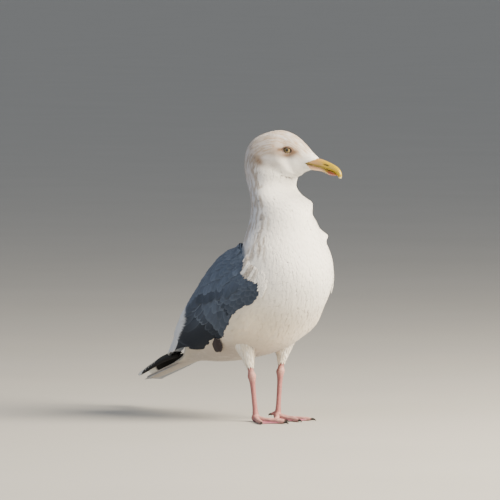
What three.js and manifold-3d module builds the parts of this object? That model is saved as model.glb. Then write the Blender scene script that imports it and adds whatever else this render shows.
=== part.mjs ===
// A large white-headed gull, adult in winter plumage, standing alert with its head turned to its left.
//
// +X is the way the trunk faces, +Y is the bird's left and +Z is up. The origin is on the ground, under
// the middle of the bird's box. Lengths are millimetres and angles are degrees.
//
// The tail, trunk, neck and head are one loft along the spine, parted by thin cuts. The folded wings are
// shells on a wider loft, the cloak, which lies over the trunk and roofs the tail.

import * as THREE from 'three';
import { LoftGeometry } from 'three/addons/geometries/LoftGeometry.js';
import { mergeVertices } from 'three/addons/utils/BufferGeometryUtils.js';
import Module from 'manifold-3d';

const wasm = await Module();
wasm.setup();

// ---------------------------------------------------------------- driving dimensions

const SEAM = 0.3; // gap between two pieces that meet
const BODY_SIDES = 24; // facets round the spine
const SMALL_SIDES = 10; // facets round a leg or the bill
const THIGH_SIDES = 14;
const TOE_SIDES = 8;
const WING_FACETS = 8; // facets across a wing's face
const WING_ROWS = 2; // rows of facets from one wing edge station to the next
const WING_EDGE_MARGIN = 1; // degrees that a wing's room reaches past its edges

const HEAD_TURN = 21; // how far the head is turned to the bird's left
const EYE_LINE = new THREE.Vector3( 53.4, 14, 381.7 ); // midway between the two eyes
const EYE_RADIUS = 6.5;
const EYE_OUT = 14.5; // from the middle of the head to the middle of an eye
const ORBIT_RADIUS = 9; // the shallow dish that an eye sits in
const ORBIT_OUT = 26.4;

const ANKLE = { radius: 6.2, height: 5.6 }; // the foot's middle joint
const TOE_HEIGHT = 2.7; // a toe's middle over the ground
const WEB_THICKNESS = 1.4;
const WEB_HEIGHT = 0.5; // underside of the web over the ground
const WEB_REACH = 0.82; // of a toe with its claw
const WEB_HOLLOW = 0.24; // how far the web's front edge is drawn back towards the ankle
const HIND_TOE_LENGTH = 10;
const CLAW_HEIGHT = 2.6; // the root's middle over the ground
const HIND_CLAW_HEIGHT = 7;

// Where each leg's feathers leave the belly, its hock and its foot joint, and its toes: which way each
// points from straight ahead, to the bird's left, and how long it is with its claw.
const LEGS = {
	right: {
		top: new THREE.Vector3( - 5, - 34, 120 ),
		hock: new THREE.Vector3( 3.3, - 25.6, 64.7 ),
		foot: new THREE.Vector3( 7.4, - 21.6, 6.4 ),
		toes: { outer: [ - 24, 63 ], middle: [ 8, 71 ], inner: [ 38, 50 ] },
		hind: 150,
	},
	left: {
		top: new THREE.Vector3( - 4, 35, 120 ),
		hock: new THREE.Vector3( - 12.9, 32, 69 ),
		foot: new THREE.Vector3( - 13.6, 28, 6.4 ),
		toes: { inner: [ - 36, 50 ], middle: [ - 4, 71 ], outer: [ 26, 63 ] },
		hind: - 150,
	},
};
const CLAW_LENGTH = { inner: 7, middle: 9, outer: 8, hind: 5 };

// Sections of a leg: how much of the way along they are, the reach across and the reach fore and aft.
const THIGH_END = 0.83; // where the feathers end, between the top and the hock
const THIGH = [
	[ 0, 17, 24 ],
	[ 0.28, 14, 17 ],
	[ 0.52, 9.5, 11 ],
	[ 0.72, 6.4, 7 ],
	[ THIGH_END, 5, 5.2 ],
];
const BARE_SHANK = [
	[ THIGH_END, 3.8, 4.2 ],
	[ 0.93, 4.6, 5 ],
];
const HOCK_TO_FOOT = [
	[ 0, 6, 6.9 ],
	[ 0.13, 4.2, 5.2 ],
	[ 0.3, 3.4, 4.1 ],
	[ 0.75, 3.3, 3.9 ],
	[ 0.9, 4.1, 4.5 ],
];

// Sections of a toe, which swells at its joints: how much of the way along, the middle's height over the
// ground, and the reach across and up and down.
const TOE = [
	[ 0, 5, 4.4, 4.4 ],
	[ 0.22, 3.5, 3.6, 3.8 ],
	[ 0.4, TOE_HEIGHT, 3, 3 ],
	[ 0.52, TOE_HEIGHT, 3.6, 3.3 ],
	[ 0.7, TOE_HEIGHT, 2.7, 2.9 ],
	[ 0.88, TOE_HEIGHT, 3, 2.9 ],
	[ 1, CLAW_HEIGHT, 1.9, 1.9 ],
];
const HIND_TOE = [
	[ 0.2, 9.5, 2.6, 2.8 ],
	[ 0.6, 8.6, 2.4, 2.5 ],
	[ 1, 7.4, 1.7, 1.8 ],
];
const HIND_TOE_PITCH = - 15;

// Sections of a claw: how much of the way along, the height over its root, the two reaches, the pitch.
const CLAW = [
	[ 0, 0, 1.7, 1.7, 0 ],
	[ 0.4, 0.2, 1.4, 1.6, - 12 ],
	[ 0.8, - 0.7, 0.9, 1, - 30 ],
	[ 1, - 1.9, 0.35, 0.35, - 40 ],
];

// ---------------------------------------------------------------- stations and rings

// A station is one cross section of a loft: its middle, how steeply the loft climbs through it, the half
// width, and the reach to the back and to the belly. yaw turns it to the bird's left.
function station( x, z, pitch, half, back, belly, yaw = 0, y = 0 ) {

	return { x, y, z, pitch, yaw, half, back, belly };

}

// A station of the head is given from the eye line, in the head's own turned frame.
function headStation( ahead, up, pitch, half, back, belly ) {

	const middle = headPoint( ahead, 0, up );
	return station( middle.x, middle.z, pitch, half, back, belly, HEAD_TURN, middle.y );

}

function headPoint( ahead, left, up ) {

	const point = new THREE.Vector3( ahead, left, up );
	point.applyAxisAngle( new THREE.Vector3( 0, 0, 1 ), THREE.MathUtils.degToRad( HEAD_TURN ) );
	return point.add( EYE_LINE );

}

// From the tail's tip to the feather edge round the bill. The parts are cut at the named stations.
const SPINE = [
	station( - 309, 42.8, 14, 6, 0.8, 1 ),
	station( - 305, 44.2, 14, 11, 0.9, 1.6 ),
	station( - 292, 48.6, 15, 14, 1.2, 2.4 ),
	station( - 256, 59.4, 16, 15, 1.8, 3 ),
	station( - 222, 69.6, 16, 15.5, 3.6, 4 ),
	station( - 195, 78.6, 16, 18, 10, 6.5 ), // tail to rump
	station( - 165, 95, 18, 31, 23, 20 ),
	station( - 127, 117, 27, 51, 35, 44 ),
	station( - 78, 136, 36, 66, 51, 61.5 ),
	station( - 27, 160, 42, 73, 67, 77.5 ),
	station( 12, 191, 45, 74, 66, 80 ),
	station( 47, 216, 50, 70, 60, 74 ),
	station( 56, 245, 65, 60, 64, 76 ),
	station( 49.5, 275, 80, 46, 58.5, 56 ), // trunk to neck
	station( 40.5, 300, 92, 39, 48.2, 50, 5 ),
	station( 26.2, 318, 100, 36, 36.2, 29.5, 12 ),
	headStation( - 40.6, - 49, 93, 33, 34, 35.2 ), // neck to head
	headStation( - 40.2, - 29, 75, 34.4, 42, 39.6 ),
	headStation( - 34.4, - 14.3, 54, 33, 44, 41 ),
	headStation( - 13.5, - 5.6, 32, 29.2, 37.2, 36.4 ),
	headStation( 0, - 6, 15, 21.5, 30, 31 ),
	headStation( 11.7, - 9.1, 0, 17.4, 20.4, 24 ),
	headStation( 22.6, - 14.8, - 20, 12, 14, 17 ),
	headStation( 33.7, - 18.9, - 35, 8.1, 10.1, 10.5 ),
	headStation( 36.5, - 20.2, - 35, 5, 7, 7 ),
];
const TAIL_END = 5;
const RUMP_END = 8.5;
const TRUNK_END = 13;
const NECK_END = 16;

// The folded wings' outer surface, from behind the tertials to the shoulder. Its upper half is squarer
// than an ellipse, where the scapulars fill the corner between the back and the side.
const CLOAK_SQUARENESS = 2.6;
const CLOAK = [
	station( - 236, 64, 16, 30, 13, 12 ),
	station( - 210, 74, 17, 40, 19, 18 ),
	station( - 170, 94, 20, 51, 35, 26 ),
	station( - 128, 120, 27, 64, 39, 45 ),
	station( - 80, 140, 36, 74, 53.5, 62 ),
	station( - 30, 162, 42, 79.5, 71.5, 82 ),
	station( 10, 193, 45, 80, 68.5, 86 ),
	station( 44, 217, 50, 73, 60, 79 ),
	station( 56, 245, 65, 61, 65, 77.5 ),
];

// A wing's edges on the cloak: how far along it, the angles of the upper and the lower edge round it,
// counted from straight out to the side and up over the back, and the shell's thickness.
const WING_EDGES = [
	{ at: 0.78, upper: 76, lower: 50, thick: 1.5 },
	{ at: 1.02, upper: 84, lower: 30, thick: 3 },
	{ at: 1.45, upper: 88, lower: 8, thick: 4.5 },
	{ at: 2, upper: 88.6, lower: - 10, thick: 6 },
	{ at: 3, upper: 88.8, lower: - 37, thick: 9 },
	{ at: 4, upper: 88.8, lower: - 45, thick: 11 },
	{ at: 5, upper: 88.6, lower: - 37, thick: 11 },
	{ at: 6, upper: 83, lower: - 35, thick: 9 },
	{ at: 7, upper: 58, lower: - 35, thick: 6.5 },
	{ at: 7.4, upper: 43, lower: - 29, thick: 5 },
	{ at: 7.7, upper: 26, lower: - 10, thick: 3 },
];

// The blade of folded primaries that shows behind the tertials: its middle line on the right wing, half
// its depth and half its thickness, and how far its flat side leans back from facing straight out.
const PRIMARIES = [
	{ x: - 190, y: - 28, z: 84, deep: 9, thick: 2.2 },
	{ x: - 212, y: - 26, z: 80, deep: 11, thick: 2.4 },
	{ x: - 237, y: - 23, z: 75, deep: 12, thick: 2.4 },
	{ x: - 264, y: - 19, z: 68, deep: 11.5, thick: 2 },
	{ x: - 292, y: - 14.5, z: 60, deep: 9.5, thick: 1.6 },
	{ x: - 312, y: - 11.7, z: 54.5, deep: 6, thick: 1.1 },
	{ x: - 322, y: - 10, z: 51.5, deep: 2.2, thick: 0.6 },
];
const PRIMARIES_LEAN = 46;

// The two halves of the bill, each from the mouth line: reach up to the culmen or down to the chin.
const UPPER_BILL = [
	headStation( 26, - 18.4, - 10, 7.6, 6, 0.6 ),
	headStation( 34, - 19.8, - 12, 7.6, 8.6, 0.6 ),
	headStation( 43, - 21.7, - 13, 7.4, 9.8, 0.6 ),
	headStation( 53, - 24.2, - 15, 6.6, 9.4, 0.6 ),
	headStation( 63, - 27.5, - 20, 5.6, 9, 0.6 ),
	headStation( 70, - 30.4, - 30, 4.6, 8.4, 0.6 ),
	headStation( 74.6, - 33.1, - 48, 3.6, 6.6, 0.6 ),
	headStation( 76.8, - 35.8, - 68, 2.6, 4.2, 0.6 ),
	headStation( 77.9, - 38.4, - 80, 1.2, 2, 0.5 ),
];
const LOWER_BILL = [
	headStation( 26, - 20.2, - 10, 7, 0.4, 6.2 ),
	headStation( 34, - 21.8, - 12, 6.8, 0.4, 6.6 ),
	headStation( 44, - 24, - 12, 6.2, 0.4, 5.2 ),
	headStation( 54, - 26.4, - 14, 5.4, 0.4, 5 ),
	headStation( 61, - 28.8, - 12, 4.8, 0.4, 5.8 ),
	headStation( 66.5, - 30.8, - 7, 4, 0.4, 4.4 ),
	headStation( 70.6, - 32.6, - 3, 2.8, 0.4, 2.7 ),
	headStation( 73.2, - 34.2, 3, 1.2, 0.3, 1 ),
];

// A smooth run of stations: curve(at) is the station at any place between them, counted in stations.
function smooth( stations ) {

	const sizes = [ [ 'x', 'y', 'z' ], [ 'pitch', 'yaw', 'half' ], [ 'back', 'belly', 'belly' ] ];
	const curves = sizes.map( ( names ) => {

		const points = stations.map( ( s ) => new THREE.Vector3( ...names.map( ( name ) => s[ name ] ) ) );
		return new THREE.CatmullRomCurve3( points, false, 'catmullrom', 0.5 );

	} );
	return ( at ) => {

		const [ place, turn, reach ] = curves.map( ( c ) => c.getPoint( at / ( stations.length - 1 ) ) );
		return {
			x: place.x, y: place.y, z: place.z,
			pitch: turn.x, yaw: turn.y, half: turn.z,
			back: reach.x, belly: reach.y,
		};

	};

}

// The three directions of a station: ahead along the loft, to its left, and to its back.
function directions( { pitch, yaw } ) {

	const turn = new THREE.Euler( 0, - THREE.MathUtils.degToRad( pitch ), THREE.MathUtils.degToRad( yaw ), 'ZYX' );
	return [ 'x', 'y', 'z' ].map( ( axis ) => {

		const direction = new THREE.Vector3();
		direction[ axis ] = 1;
		return direction.applyEuler( turn );

	} );

}

// The point at an angle round a station, grown outwards, and moved ahead along the loft. A squareness
// over 2 fills the upper corners.
function ringPoint( s, angle, { grow = 0, ahead = 0, squareness = 2 } = {} ) {

	const [ forward, left, up ] = directions( s );
	const turn = THREE.MathUtils.degToRad( angle );
	let across = Math.cos( turn );
	let rise = Math.sin( turn );
	const reach = ( rise > 0 ? s.back : s.belly ) + grow;
	if ( rise > 0 ) {

		across = Math.sign( across ) * Math.abs( across ) ** ( 2 / squareness );
		rise = rise ** ( 2 / squareness );

	}

	return new THREE.Vector3( s.x, s.y, s.z )
		.addScaledVector( forward, ahead )
		.addScaledVector( left, across * ( s.half + grow ) )
		.addScaledVector( up, rise * reach );

}

function ring( s, sides, grow = 0, ahead = 0 ) {

	const step = 360 / sides;
	return Array.from( { length: sides }, ( _, i ) => ringPoint( s, i * step, { grow, ahead } ) );

}

// A closed loft through the stations from one place to another. Its first ring is set ahead by the gap
// when it follows another part, and a grown loft reaches past both ends.
function ringLoft( curve, from, to, { steps, sides, grow = 0, startGap = 0 } ) {

	const rows = Math.round( ( to - from ) * steps );
	const sections = [];
	for ( let i = 0; i <= rows; i ++ ) {

		let ahead = 0;
		if ( i === 0 ) ahead = startGap - grow;
		if ( i === rows ) ahead = grow;
		sections.push( ring( curve( from + ( to - from ) * i / rows ), sides, grow, ahead ) );

	}

	return closedLoft( sections );

}

function closedLoft( sections ) {

	const geometry = new LoftGeometry( sections, { closed: true, capStart: true, capEnd: true } );
	return positionsOnly( geometry );

}

// ---------------------------------------------------------------- solids

function positionsOnly( geometry ) {

	const bare = new THREE.BufferGeometry();
	bare.setAttribute( 'position', geometry.getAttribute( 'position' ).clone() );
	bare.setIndex( geometry.index );
	return mergeVertices( bare, 1e-4 );

}

function solidOf( geometry ) {

	const merged = positionsOnly( geometry );
	return new wasm.Manifold( new wasm.Mesh( {
		numProp: 3,
		vertProperties: new Float32Array( merged.getAttribute( 'position' ).array ),
		triVerts: new Uint32Array( merged.index.array ),
	} ) );

}

// The largest body of a solid, so that a cut leaves no loose slivers.
function geometryOf( solid ) {

	const bodies = solid.decompose();
	bodies.sort( ( a, b ) => b.volume() - a.volume() );
	const mesh = bodies[ 0 ].getMesh();
	const geometry = new THREE.BufferGeometry();
	geometry.setAttribute( 'position', new THREE.BufferAttribute( mesh.vertProperties, 3 ) );
	geometry.setIndex( new THREE.BufferAttribute( mesh.triVerts, 1 ) );
	return geometry;

}

function ball( centre, radius, widthSegments = 12, heightSegments = 8 ) {

	const geometry = new THREE.SphereGeometry( radius, widthSegments, heightSegments );
	return geometry.translate( centre.x, centre.y, centre.z );

}

// ---------------------------------------------------------------- finishes

function finish( color, roughness ) {

	return new THREE.MeshStandardMaterial( { color, roughness, metalness: 0 } );

}

const whitePlumage = finish( '#e9e7e2', 0.9 );
const greyPlumage = finish( '#6d7786', 0.85 );
const blackPlumage = finish( '#22201f', 0.7 );
const legSkin = finish( '#c99a98', 0.6 );
const billHorn = finish( '#d8c24a', 0.4 );
const clawHorn = finish( '#2c2624', 0.45 );
const eyeGloss = finish( '#b9a878', 0.1 );

// ---------------------------------------------------------------- parts

const bird = new THREE.Group();

function addPart( name, geometry, material ) {

	const mesh = new THREE.Mesh( geometry, material );
	mesh.name = name;
	bird.add( mesh );

}

const spine = smooth( SPINE );
const spineEnd = SPINE.length - 1;
const body = { steps: 2, sides: BODY_SIDES };

// The whole spine, grown by the gap: what lies on the body is cut back to it.
const spineRoom = solidOf( ringLoft( spine, 0, spineEnd, { ...body, grow: SEAM } ) );

function buildSpine() {

	const next = { ...body, startGap: SEAM };
	addPart( 'tail', ringLoft( spine, 0, TAIL_END, body ), whitePlumage );
	addPart( 'rump', ringLoft( spine, TAIL_END, RUMP_END, next ), whitePlumage );
	addPart( 'trunk', ringLoft( spine, RUMP_END, TRUNK_END, next ), whitePlumage );
	addPart( 'neck', ringLoft( spine, TRUNK_END, NECK_END, next ), whitePlumage );

}

function buildHead() {

	let head = solidOf( ringLoft( spine, NECK_END, spineEnd, { ...body, startGap: SEAM } ) );
	for ( const [ side, sign ] of [ [ 'right', - 1 ], [ 'left', 1 ] ] ) {

		const eye = headPoint( 0, sign * EYE_OUT, 0 );
		const orbit = headPoint( 0, sign * ORBIT_OUT, 0 );
		head = head.subtract( solidOf( ball( orbit, ORBIT_RADIUS, 14, 10 ) ) );
		head = head.subtract( solidOf( ball( eye, EYE_RADIUS + SEAM ) ) );
		addPart( `eye_${ side }`, positionsOnly( ball( eye, EYE_RADIUS ) ), eyeGloss );

	}

	addPart( 'head', geometryOf( head ), whitePlumage );

	const billRing = { steps: 2, sides: SMALL_SIDES };
	const upperCurve = smooth( UPPER_BILL );
	const upper = solidOf( ringLoft( upperCurve, 0, UPPER_BILL.length - 1, billRing ) );
	const upperRoom = solidOf( ringLoft( upperCurve, 0, UPPER_BILL.length - 1, { ...billRing, grow: SEAM } ) );
	const lower = solidOf( ringLoft( smooth( LOWER_BILL ), 0, LOWER_BILL.length - 1, billRing ) );
	addPart( 'upper_bill', geometryOf( upper.subtract( spineRoom ) ), billHorn );
	addPart( 'lower_bill', geometryOf( lower.subtract( spineRoom ).subtract( upperRoom ) ), billHorn );

}

// One section of a wing's shell: out along its face from edge to edge, and back along its inside. A
// grown shell is larger by the gap on every side.
function wingSection( curve, edge, sign, grow ) {

	const outer = curve( edge.at );
	const inner = { ...outer };
	for ( const size of [ 'half', 'back', 'belly' ] ) inner[ size ] -= edge.thick + grow;
	const widening = grow > 0 ? WING_EDGE_MARGIN : 0;
	const face = [];
	const inside = [];
	for ( let i = 0; i <= WING_FACETS; i ++ ) {

		const fromSide = THREE.MathUtils.lerp( edge.lower - widening, edge.upper + widening, i / WING_FACETS );
		const angle = sign > 0 ? fromSide : 180 - fromSide;
		face.push( ringPoint( outer, angle, { grow, squareness: CLOAK_SQUARENESS } ) );
		inside.unshift( ringPoint( inner, angle, { squareness: CLOAK_SQUARENESS } ) );

	}

	const section = face.concat( inside );
	return sign > 0 ? section : section.reverse();

}

function wingShell( sign, grow ) {

	const cloak = smooth( CLOAK );
	const edges = smoothEdges( WING_EDGES );
	const rows = WING_ROWS * ( WING_EDGES.length - 1 );
	const sections = [];
	for ( let i = 0; i <= rows; i ++ ) sections.push( wingSection( cloak, edges( i / rows ), sign, grow ) );
	return solidOf( closedLoft( sections ) );

}

function buildWing( side, sign ) {

	addPart( `wing_${ side }`, geometryOf( wingShell( sign, 0 ).subtract( spineRoom ) ), greyPlumage );

}

function smoothEdges( edges ) {

	const names = [ [ 'at', 'upper', 'lower' ], [ 'thick', 'thick', 'thick' ] ];
	const [ span, depth ] = names.map( ( keys ) => {

		const points = edges.map( ( e ) => new THREE.Vector3( ...keys.map( ( key ) => e[ key ] ) ) );
		return new THREE.CatmullRomCurve3( points, false, 'catmullrom', 0.5 );

	} );
	return ( t ) => {

		const { x: at, y: upper, z: lower } = span.getPoint( t );
		return { at, upper, lower, thick: depth.getPoint( t ).x };

	};

}

// The primaries' blade is a flattened loft, leaned so that its upper edge is nearer the middle.
function buildPrimaries( side, sign ) {

	const lean = THREE.MathUtils.degToRad( PRIMARIES_LEAN );
	const sections = PRIMARIES.map( ( s ) => {

		return Array.from( { length: SMALL_SIDES }, ( _, i ) => {

			const turn = i / SMALL_SIDES * Math.PI * 2;
			const deep = Math.sin( turn ) * s.deep;
			const thick = Math.cos( turn ) * s.thick;
			const out = thick * Math.cos( lean ) - deep * Math.sin( lean );
			const up = deep * Math.cos( lean ) + thick * Math.sin( lean );
			return new THREE.Vector3( s.x, sign * ( Math.abs( s.y ) + out ), s.z + up );

		} );

	} );
	if ( sign < 0 ) sections.forEach( ( section ) => section.reverse() );
	sections.reverse();
	const blade = solidOf( closedLoft( sections ) ).subtract( spineRoom ).subtract( wingShell( sign, SEAM ) );
	addPart( `primaries_${ side }`, geometryOf( blade ), blackPlumage );

}

// ---------------------------------------------------------------- legs

// A leg's stations run down from the belly, each a share of the way from one joint to the next.
function legStations( from, to, table ) {

	const way = to.clone().sub( from ).normalize();
	const pitch = THREE.MathUtils.radToDeg( Math.asin( way.z ) );
	return table.map( ( [ share, half, deep ] ) => {

		const middle = from.clone().lerp( to, share );
		return station( middle.x, middle.z, pitch, half, deep, deep, 0, middle.y );

	} );

}

function buildLeg( side, leg ) {

	const thigh = legStations( leg.top, leg.hock, THIGH );
	const thighLoft = ringLoft( smooth( thigh ), 0, thigh.length - 1, { steps: 1, sides: THIGH_SIDES } );
	addPart( `thigh_${ side }`, geometryOf( solidOf( thighLoft ).subtract( spineRoom ) ), whitePlumage );

	const bare = legStations( leg.top, leg.hock, BARE_SHANK );
	const shank = bare.concat( legStations( leg.hock, leg.foot, HOCK_TO_FOOT ) );
	const curve = smooth( shank );
	const shankRing = { steps: 1, sides: SMALL_SIDES };
	const shankLoft = ringLoft( curve, 0, shank.length - 1, { ...shankRing, startGap: SEAM } );
	addPart( `shank_${ side }`, shankLoft, legSkin );

	const shankRoom = ringLoft( curve, 0, shank.length - 1, { ...shankRing, grow: SEAM } );
	buildFoot( side, leg, solidOf( shankRoom ) );

}

// A point some way along a toe, over the ground.
function toePoint( leg, heading, distance, height ) {

	const turn = THREE.MathUtils.degToRad( heading );
	return new THREE.Vector3(
		leg.foot.x + Math.cos( turn ) * distance,
		leg.foot.y + Math.sin( turn ) * distance,
		height,
	);

}

// A toe and its claw are lofts whose stations face along the toe.
function toeStation( leg, heading, distance, height, half, deep, pitch = 0 ) {

	const middle = toePoint( leg, heading, distance, height );
	return station( middle.x, middle.z, pitch, half, deep, deep, heading, middle.y );

}

function toeLoft( leg, heading, length, table, pitch = 0 ) {

	const stations = table.map( ( [ share, height, half, deep ] ) => {

		return toeStation( leg, heading, share * length, height, half, deep, pitch );

	} );
	return ringLoft( smooth( stations ), 0, stations.length - 1, { steps: 1, sides: TOE_SIDES } );

}

function clawLoft( leg, heading, start, length, rootHeight ) {

	const stations = CLAW.map( ( [ share, rise, half, deep, pitch ] ) => {

		return toeStation( leg, heading, start + share * length, rootHeight + rise, half, deep, pitch );

	} );
	const clawRing = { steps: 1, sides: TOE_SIDES, startGap: SEAM };
	return ringLoft( smooth( stations ), 0, stations.length - 1, clawRing );

}

// The web between two toes, with a hollow front edge.
function webPlate( leg, one, other ) {

	const hub = toePoint( leg, 0, 0, 0 );
	const [ tipOne, tipOther ] = [ one, other ].map( ( [ heading, length ] ) => {

		return toePoint( leg, heading, length * WEB_REACH, 0 );

	} );
	const hollow = tipOne.clone().add( tipOther ).multiplyScalar( 0.5 ).lerp( hub, WEB_HOLLOW );
	const outline = new THREE.Shape();
	outline.moveTo( hub.x, hub.y );
	outline.lineTo( tipOne.x, tipOne.y );
	outline.quadraticCurveTo( hollow.x, hollow.y, tipOther.x, tipOther.y );
	const extrusion = { depth: WEB_THICKNESS, bevelEnabled: false, curveSegments: 5 };
	return new THREE.ExtrudeGeometry( outline, extrusion ).translate( 0, 0, WEB_HEIGHT );

}

function buildFoot( side, leg, shankRoom ) {

	let foot = solidOf( ball( toePoint( leg, 0, 0, ANKLE.height ), ANKLE.radius, 10, 6 ) );
	for ( const [ toe, [ heading, length ] ] of Object.entries( leg.toes ) ) {

		const fleshLength = length - CLAW_LENGTH[ toe ];
		const claw = clawLoft( leg, heading, fleshLength, CLAW_LENGTH[ toe ], CLAW_HEIGHT );
		foot = foot.add( solidOf( toeLoft( leg, heading, fleshLength, TOE ) ) );
		addPart( `claw_${ side }_${ toe }`, claw, clawHorn );

	}

	const { outer, middle, inner } = leg.toes;
	const webs = [ [ outer, middle ], [ middle, inner ] ];
	for ( const [ one, other ] of webs ) foot = foot.add( solidOf( webPlate( leg, one, other ) ) );

	const hindToe = toeLoft( leg, leg.hind, HIND_TOE_LENGTH, HIND_TOE, HIND_TOE_PITCH );
	const hindClaw = clawLoft( leg, leg.hind, HIND_TOE_LENGTH + SEAM, CLAW_LENGTH.hind, HIND_CLAW_HEIGHT );
	foot = foot.add( solidOf( hindToe ) );
	addPart( `claw_${ side }_hind`, hindClaw, clawHorn );

	// The soles are cut flat at the ground.
	const ground = new THREE.BoxGeometry( 300, 300, 20 ).translate( 0, 0, - 10 );
	foot = foot.subtract( solidOf( ground ) ).subtract( shankRoom );
	addPart( `foot_${ side }`, geometryOf( foot ), legSkin );

}

// ---------------------------------------------------------------- the bird

buildSpine();
buildHead();
for ( const [ side, sign ] of [ [ 'right', - 1 ], [ 'left', 1 ] ] ) {

	buildWing( side, sign );
	buildPrimaries( side, sign );
	buildLeg( side, LEGS[ side ] );

}

// The origin goes on the ground under the middle of the bird's box.
const box = new THREE.Box3().setFromObject( bird );
const middle = box.getCenter( new THREE.Vector3() );
bird.position.set( - middle.x, - middle.y, - box.min.z );

export default bird;
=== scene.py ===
"""A large white-headed gull, adult in winter plumage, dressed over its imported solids.

Lengths in the tables are millimetres and angles are degrees, in the design frame: +X is the way the
trunk faces, +Y the bird's left and +Z up. The row frame is the same, moved along X.

The body is a form swept through stations along the spine. A skin lies inside it, and the feathers are
vanes laid on it: each starts below the coat's surface, follows the form along the lie of the plumage
and ends just proud of it, so that every feather covers the roots of those behind.
"""

import logging
import math
from abc import ABC, abstractmethod
from collections.abc import Callable, Sequence
from dataclasses import dataclass, field
from enum import Enum

import bpy
import numpy as np
from mathutils import Matrix, Vector


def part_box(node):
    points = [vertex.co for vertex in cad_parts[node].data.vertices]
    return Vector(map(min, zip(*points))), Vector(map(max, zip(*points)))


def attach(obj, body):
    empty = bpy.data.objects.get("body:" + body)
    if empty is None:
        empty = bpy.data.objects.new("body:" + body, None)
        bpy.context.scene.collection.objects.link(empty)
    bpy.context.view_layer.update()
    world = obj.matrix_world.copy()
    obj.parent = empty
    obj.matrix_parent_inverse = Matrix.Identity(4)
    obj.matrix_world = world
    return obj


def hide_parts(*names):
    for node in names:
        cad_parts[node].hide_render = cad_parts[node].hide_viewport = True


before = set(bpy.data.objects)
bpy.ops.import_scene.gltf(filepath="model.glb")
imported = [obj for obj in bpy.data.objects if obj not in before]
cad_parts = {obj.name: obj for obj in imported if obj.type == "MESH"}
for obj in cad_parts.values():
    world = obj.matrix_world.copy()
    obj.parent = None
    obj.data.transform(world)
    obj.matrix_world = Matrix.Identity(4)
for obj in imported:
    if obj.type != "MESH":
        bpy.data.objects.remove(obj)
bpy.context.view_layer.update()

Array = np.ndarray
MM = 0.001
log = logging.getLogger("gull")

HEAD_TURN = 21.0  # the head is turned to the bird's left
EYE_LINE = np.array([53.4, 14.0, 381.7])  # midway between the two eyes
EYE_OUT = 14.5
EYE_RADIUS = 6.5
EYE_SEAT = (1.2, -0.3)  # the middle of the lids' opening, ahead and up of the eye line
LID_HALF = (4.9, 3.6)  # half the opening's length and height
SEED = 20
BANDS_PER_SCALE = 6.3  # bands that a wave texture draws over one unit, for a scale of 1
EVEN_STEPS = (0.7548776662466927, 0.5698402909980532)  # the plastic ratio's first two inverse powers
UP = np.array([0.0, 0.0, 1.0])


class Side(Enum):
    """A side of the bird, with the sign of its Y."""

    RIGHT = -1
    LEFT = 1

    @property
    def word(self) -> str:
        """The side's name as the solids spell it."""
        return self.name.lower()


# ---------------------------------------------------------------- colour and shader helpers


def linear(code: str) -> Array:
    """Turns an sRGB hex colour to linear.

    Args:
        code: Six hex digits after a hash.

    Returns:
        Red, green and blue as linear numbers from 0 to 1.
    """
    value = np.array([int(code[i : i + 2], 16) for i in (1, 3, 5)]) / 255
    return np.where(value <= 0.04045, value / 12.92, ((value + 0.055) / 1.055) ** 2.4)


def rgba(code: str) -> tuple[float, float, float, float]:
    """An sRGB hex colour as a linear socket value."""
    return (*linear(code), 1.0)


def add_node(tree: bpy.types.NodeTree, kind: str, settings: dict | None = None, **links: object) -> bpy.types.Node:
    """Adds a shader node.

    Args:
        tree: The material's node tree.
        kind: The node's type name.
        settings: The node's own properties by name.
        links: Input sockets by name, underscores for spaces, each a value or a socket to link from.

    Returns:
        The new node.
    """
    node = tree.nodes.new(kind)
    for name, value in (settings or {}).items():
        setattr(node, name, value)
    for name, value in links.items():
        key = int(name[1:]) if name[0] == "i" and name[1:].isdigit() else name.replace("_", " ")
        if isinstance(value, bpy.types.NodeSocket):
            tree.links.new(value, node.inputs[key])
        else:
            node.inputs[key].default_value = value
    return node


def empty_material(name: str) -> tuple[bpy.types.Material, bpy.types.NodeTree]:
    """A new material and its node tree, with nothing in it."""
    material = bpy.data.materials.new(name)
    material.use_nodes = True
    material.node_tree.nodes.clear()
    return material, material.node_tree


def smoothstep(low: float, high: float, value: Array) -> Array:
    """0 below low, 1 above high and an even S between them, high being below low to run the other way."""
    x = np.clip((np.asarray(value, float) - low) / (high - low), 0, 1)
    return x * x * (3 - 2 * x)


def wrapped(angle: Array) -> Array:
    """Angles brought into the half turns on both sides of 0."""
    return (angle + 180) % 360 - 180


def mixed(one: Array, other: Array, share: Array) -> Array:
    """Colours blended by a share for each place, 0 being all one and 1 all other."""
    share = np.asarray(share, float)[..., None]
    return one * (1 - share) + other * share


@dataclass(frozen=True)
class Noise:
    """Smooth random values over a plane, from a repeating lattice of seeded numbers.

    The value at (x, y) is the four lattice numbers round it, blended by an even S along each side.
    """

    seed: int
    size: int = 64

    def at(self, x: Array, y: Array) -> Array:
        """Values from 0 to 1 at each place.

        Args:
            x: First coordinates, in cells.
            y: Second coordinates, in cells.

        Returns:
            One value for each place.
        """
        lattice = np.random.default_rng(self.seed).random((self.size, self.size))
        i, j = np.floor(x).astype(int), np.floor(y).astype(int)
        f, g = smoothstep(0, 1, x - i), smoothstep(0, 1, y - j)
        i0, i1, j0, j1 = i % self.size, (i + 1) % self.size, j % self.size, (j + 1) % self.size
        low = lattice[i0, j0] * (1 - f) + lattice[i1, j0] * f
        high = lattice[i0, j1] * (1 - f) + lattice[i1, j1] * f
        return low * (1 - g) + high * g


# ---------------------------------------------------------------- finishes


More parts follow.
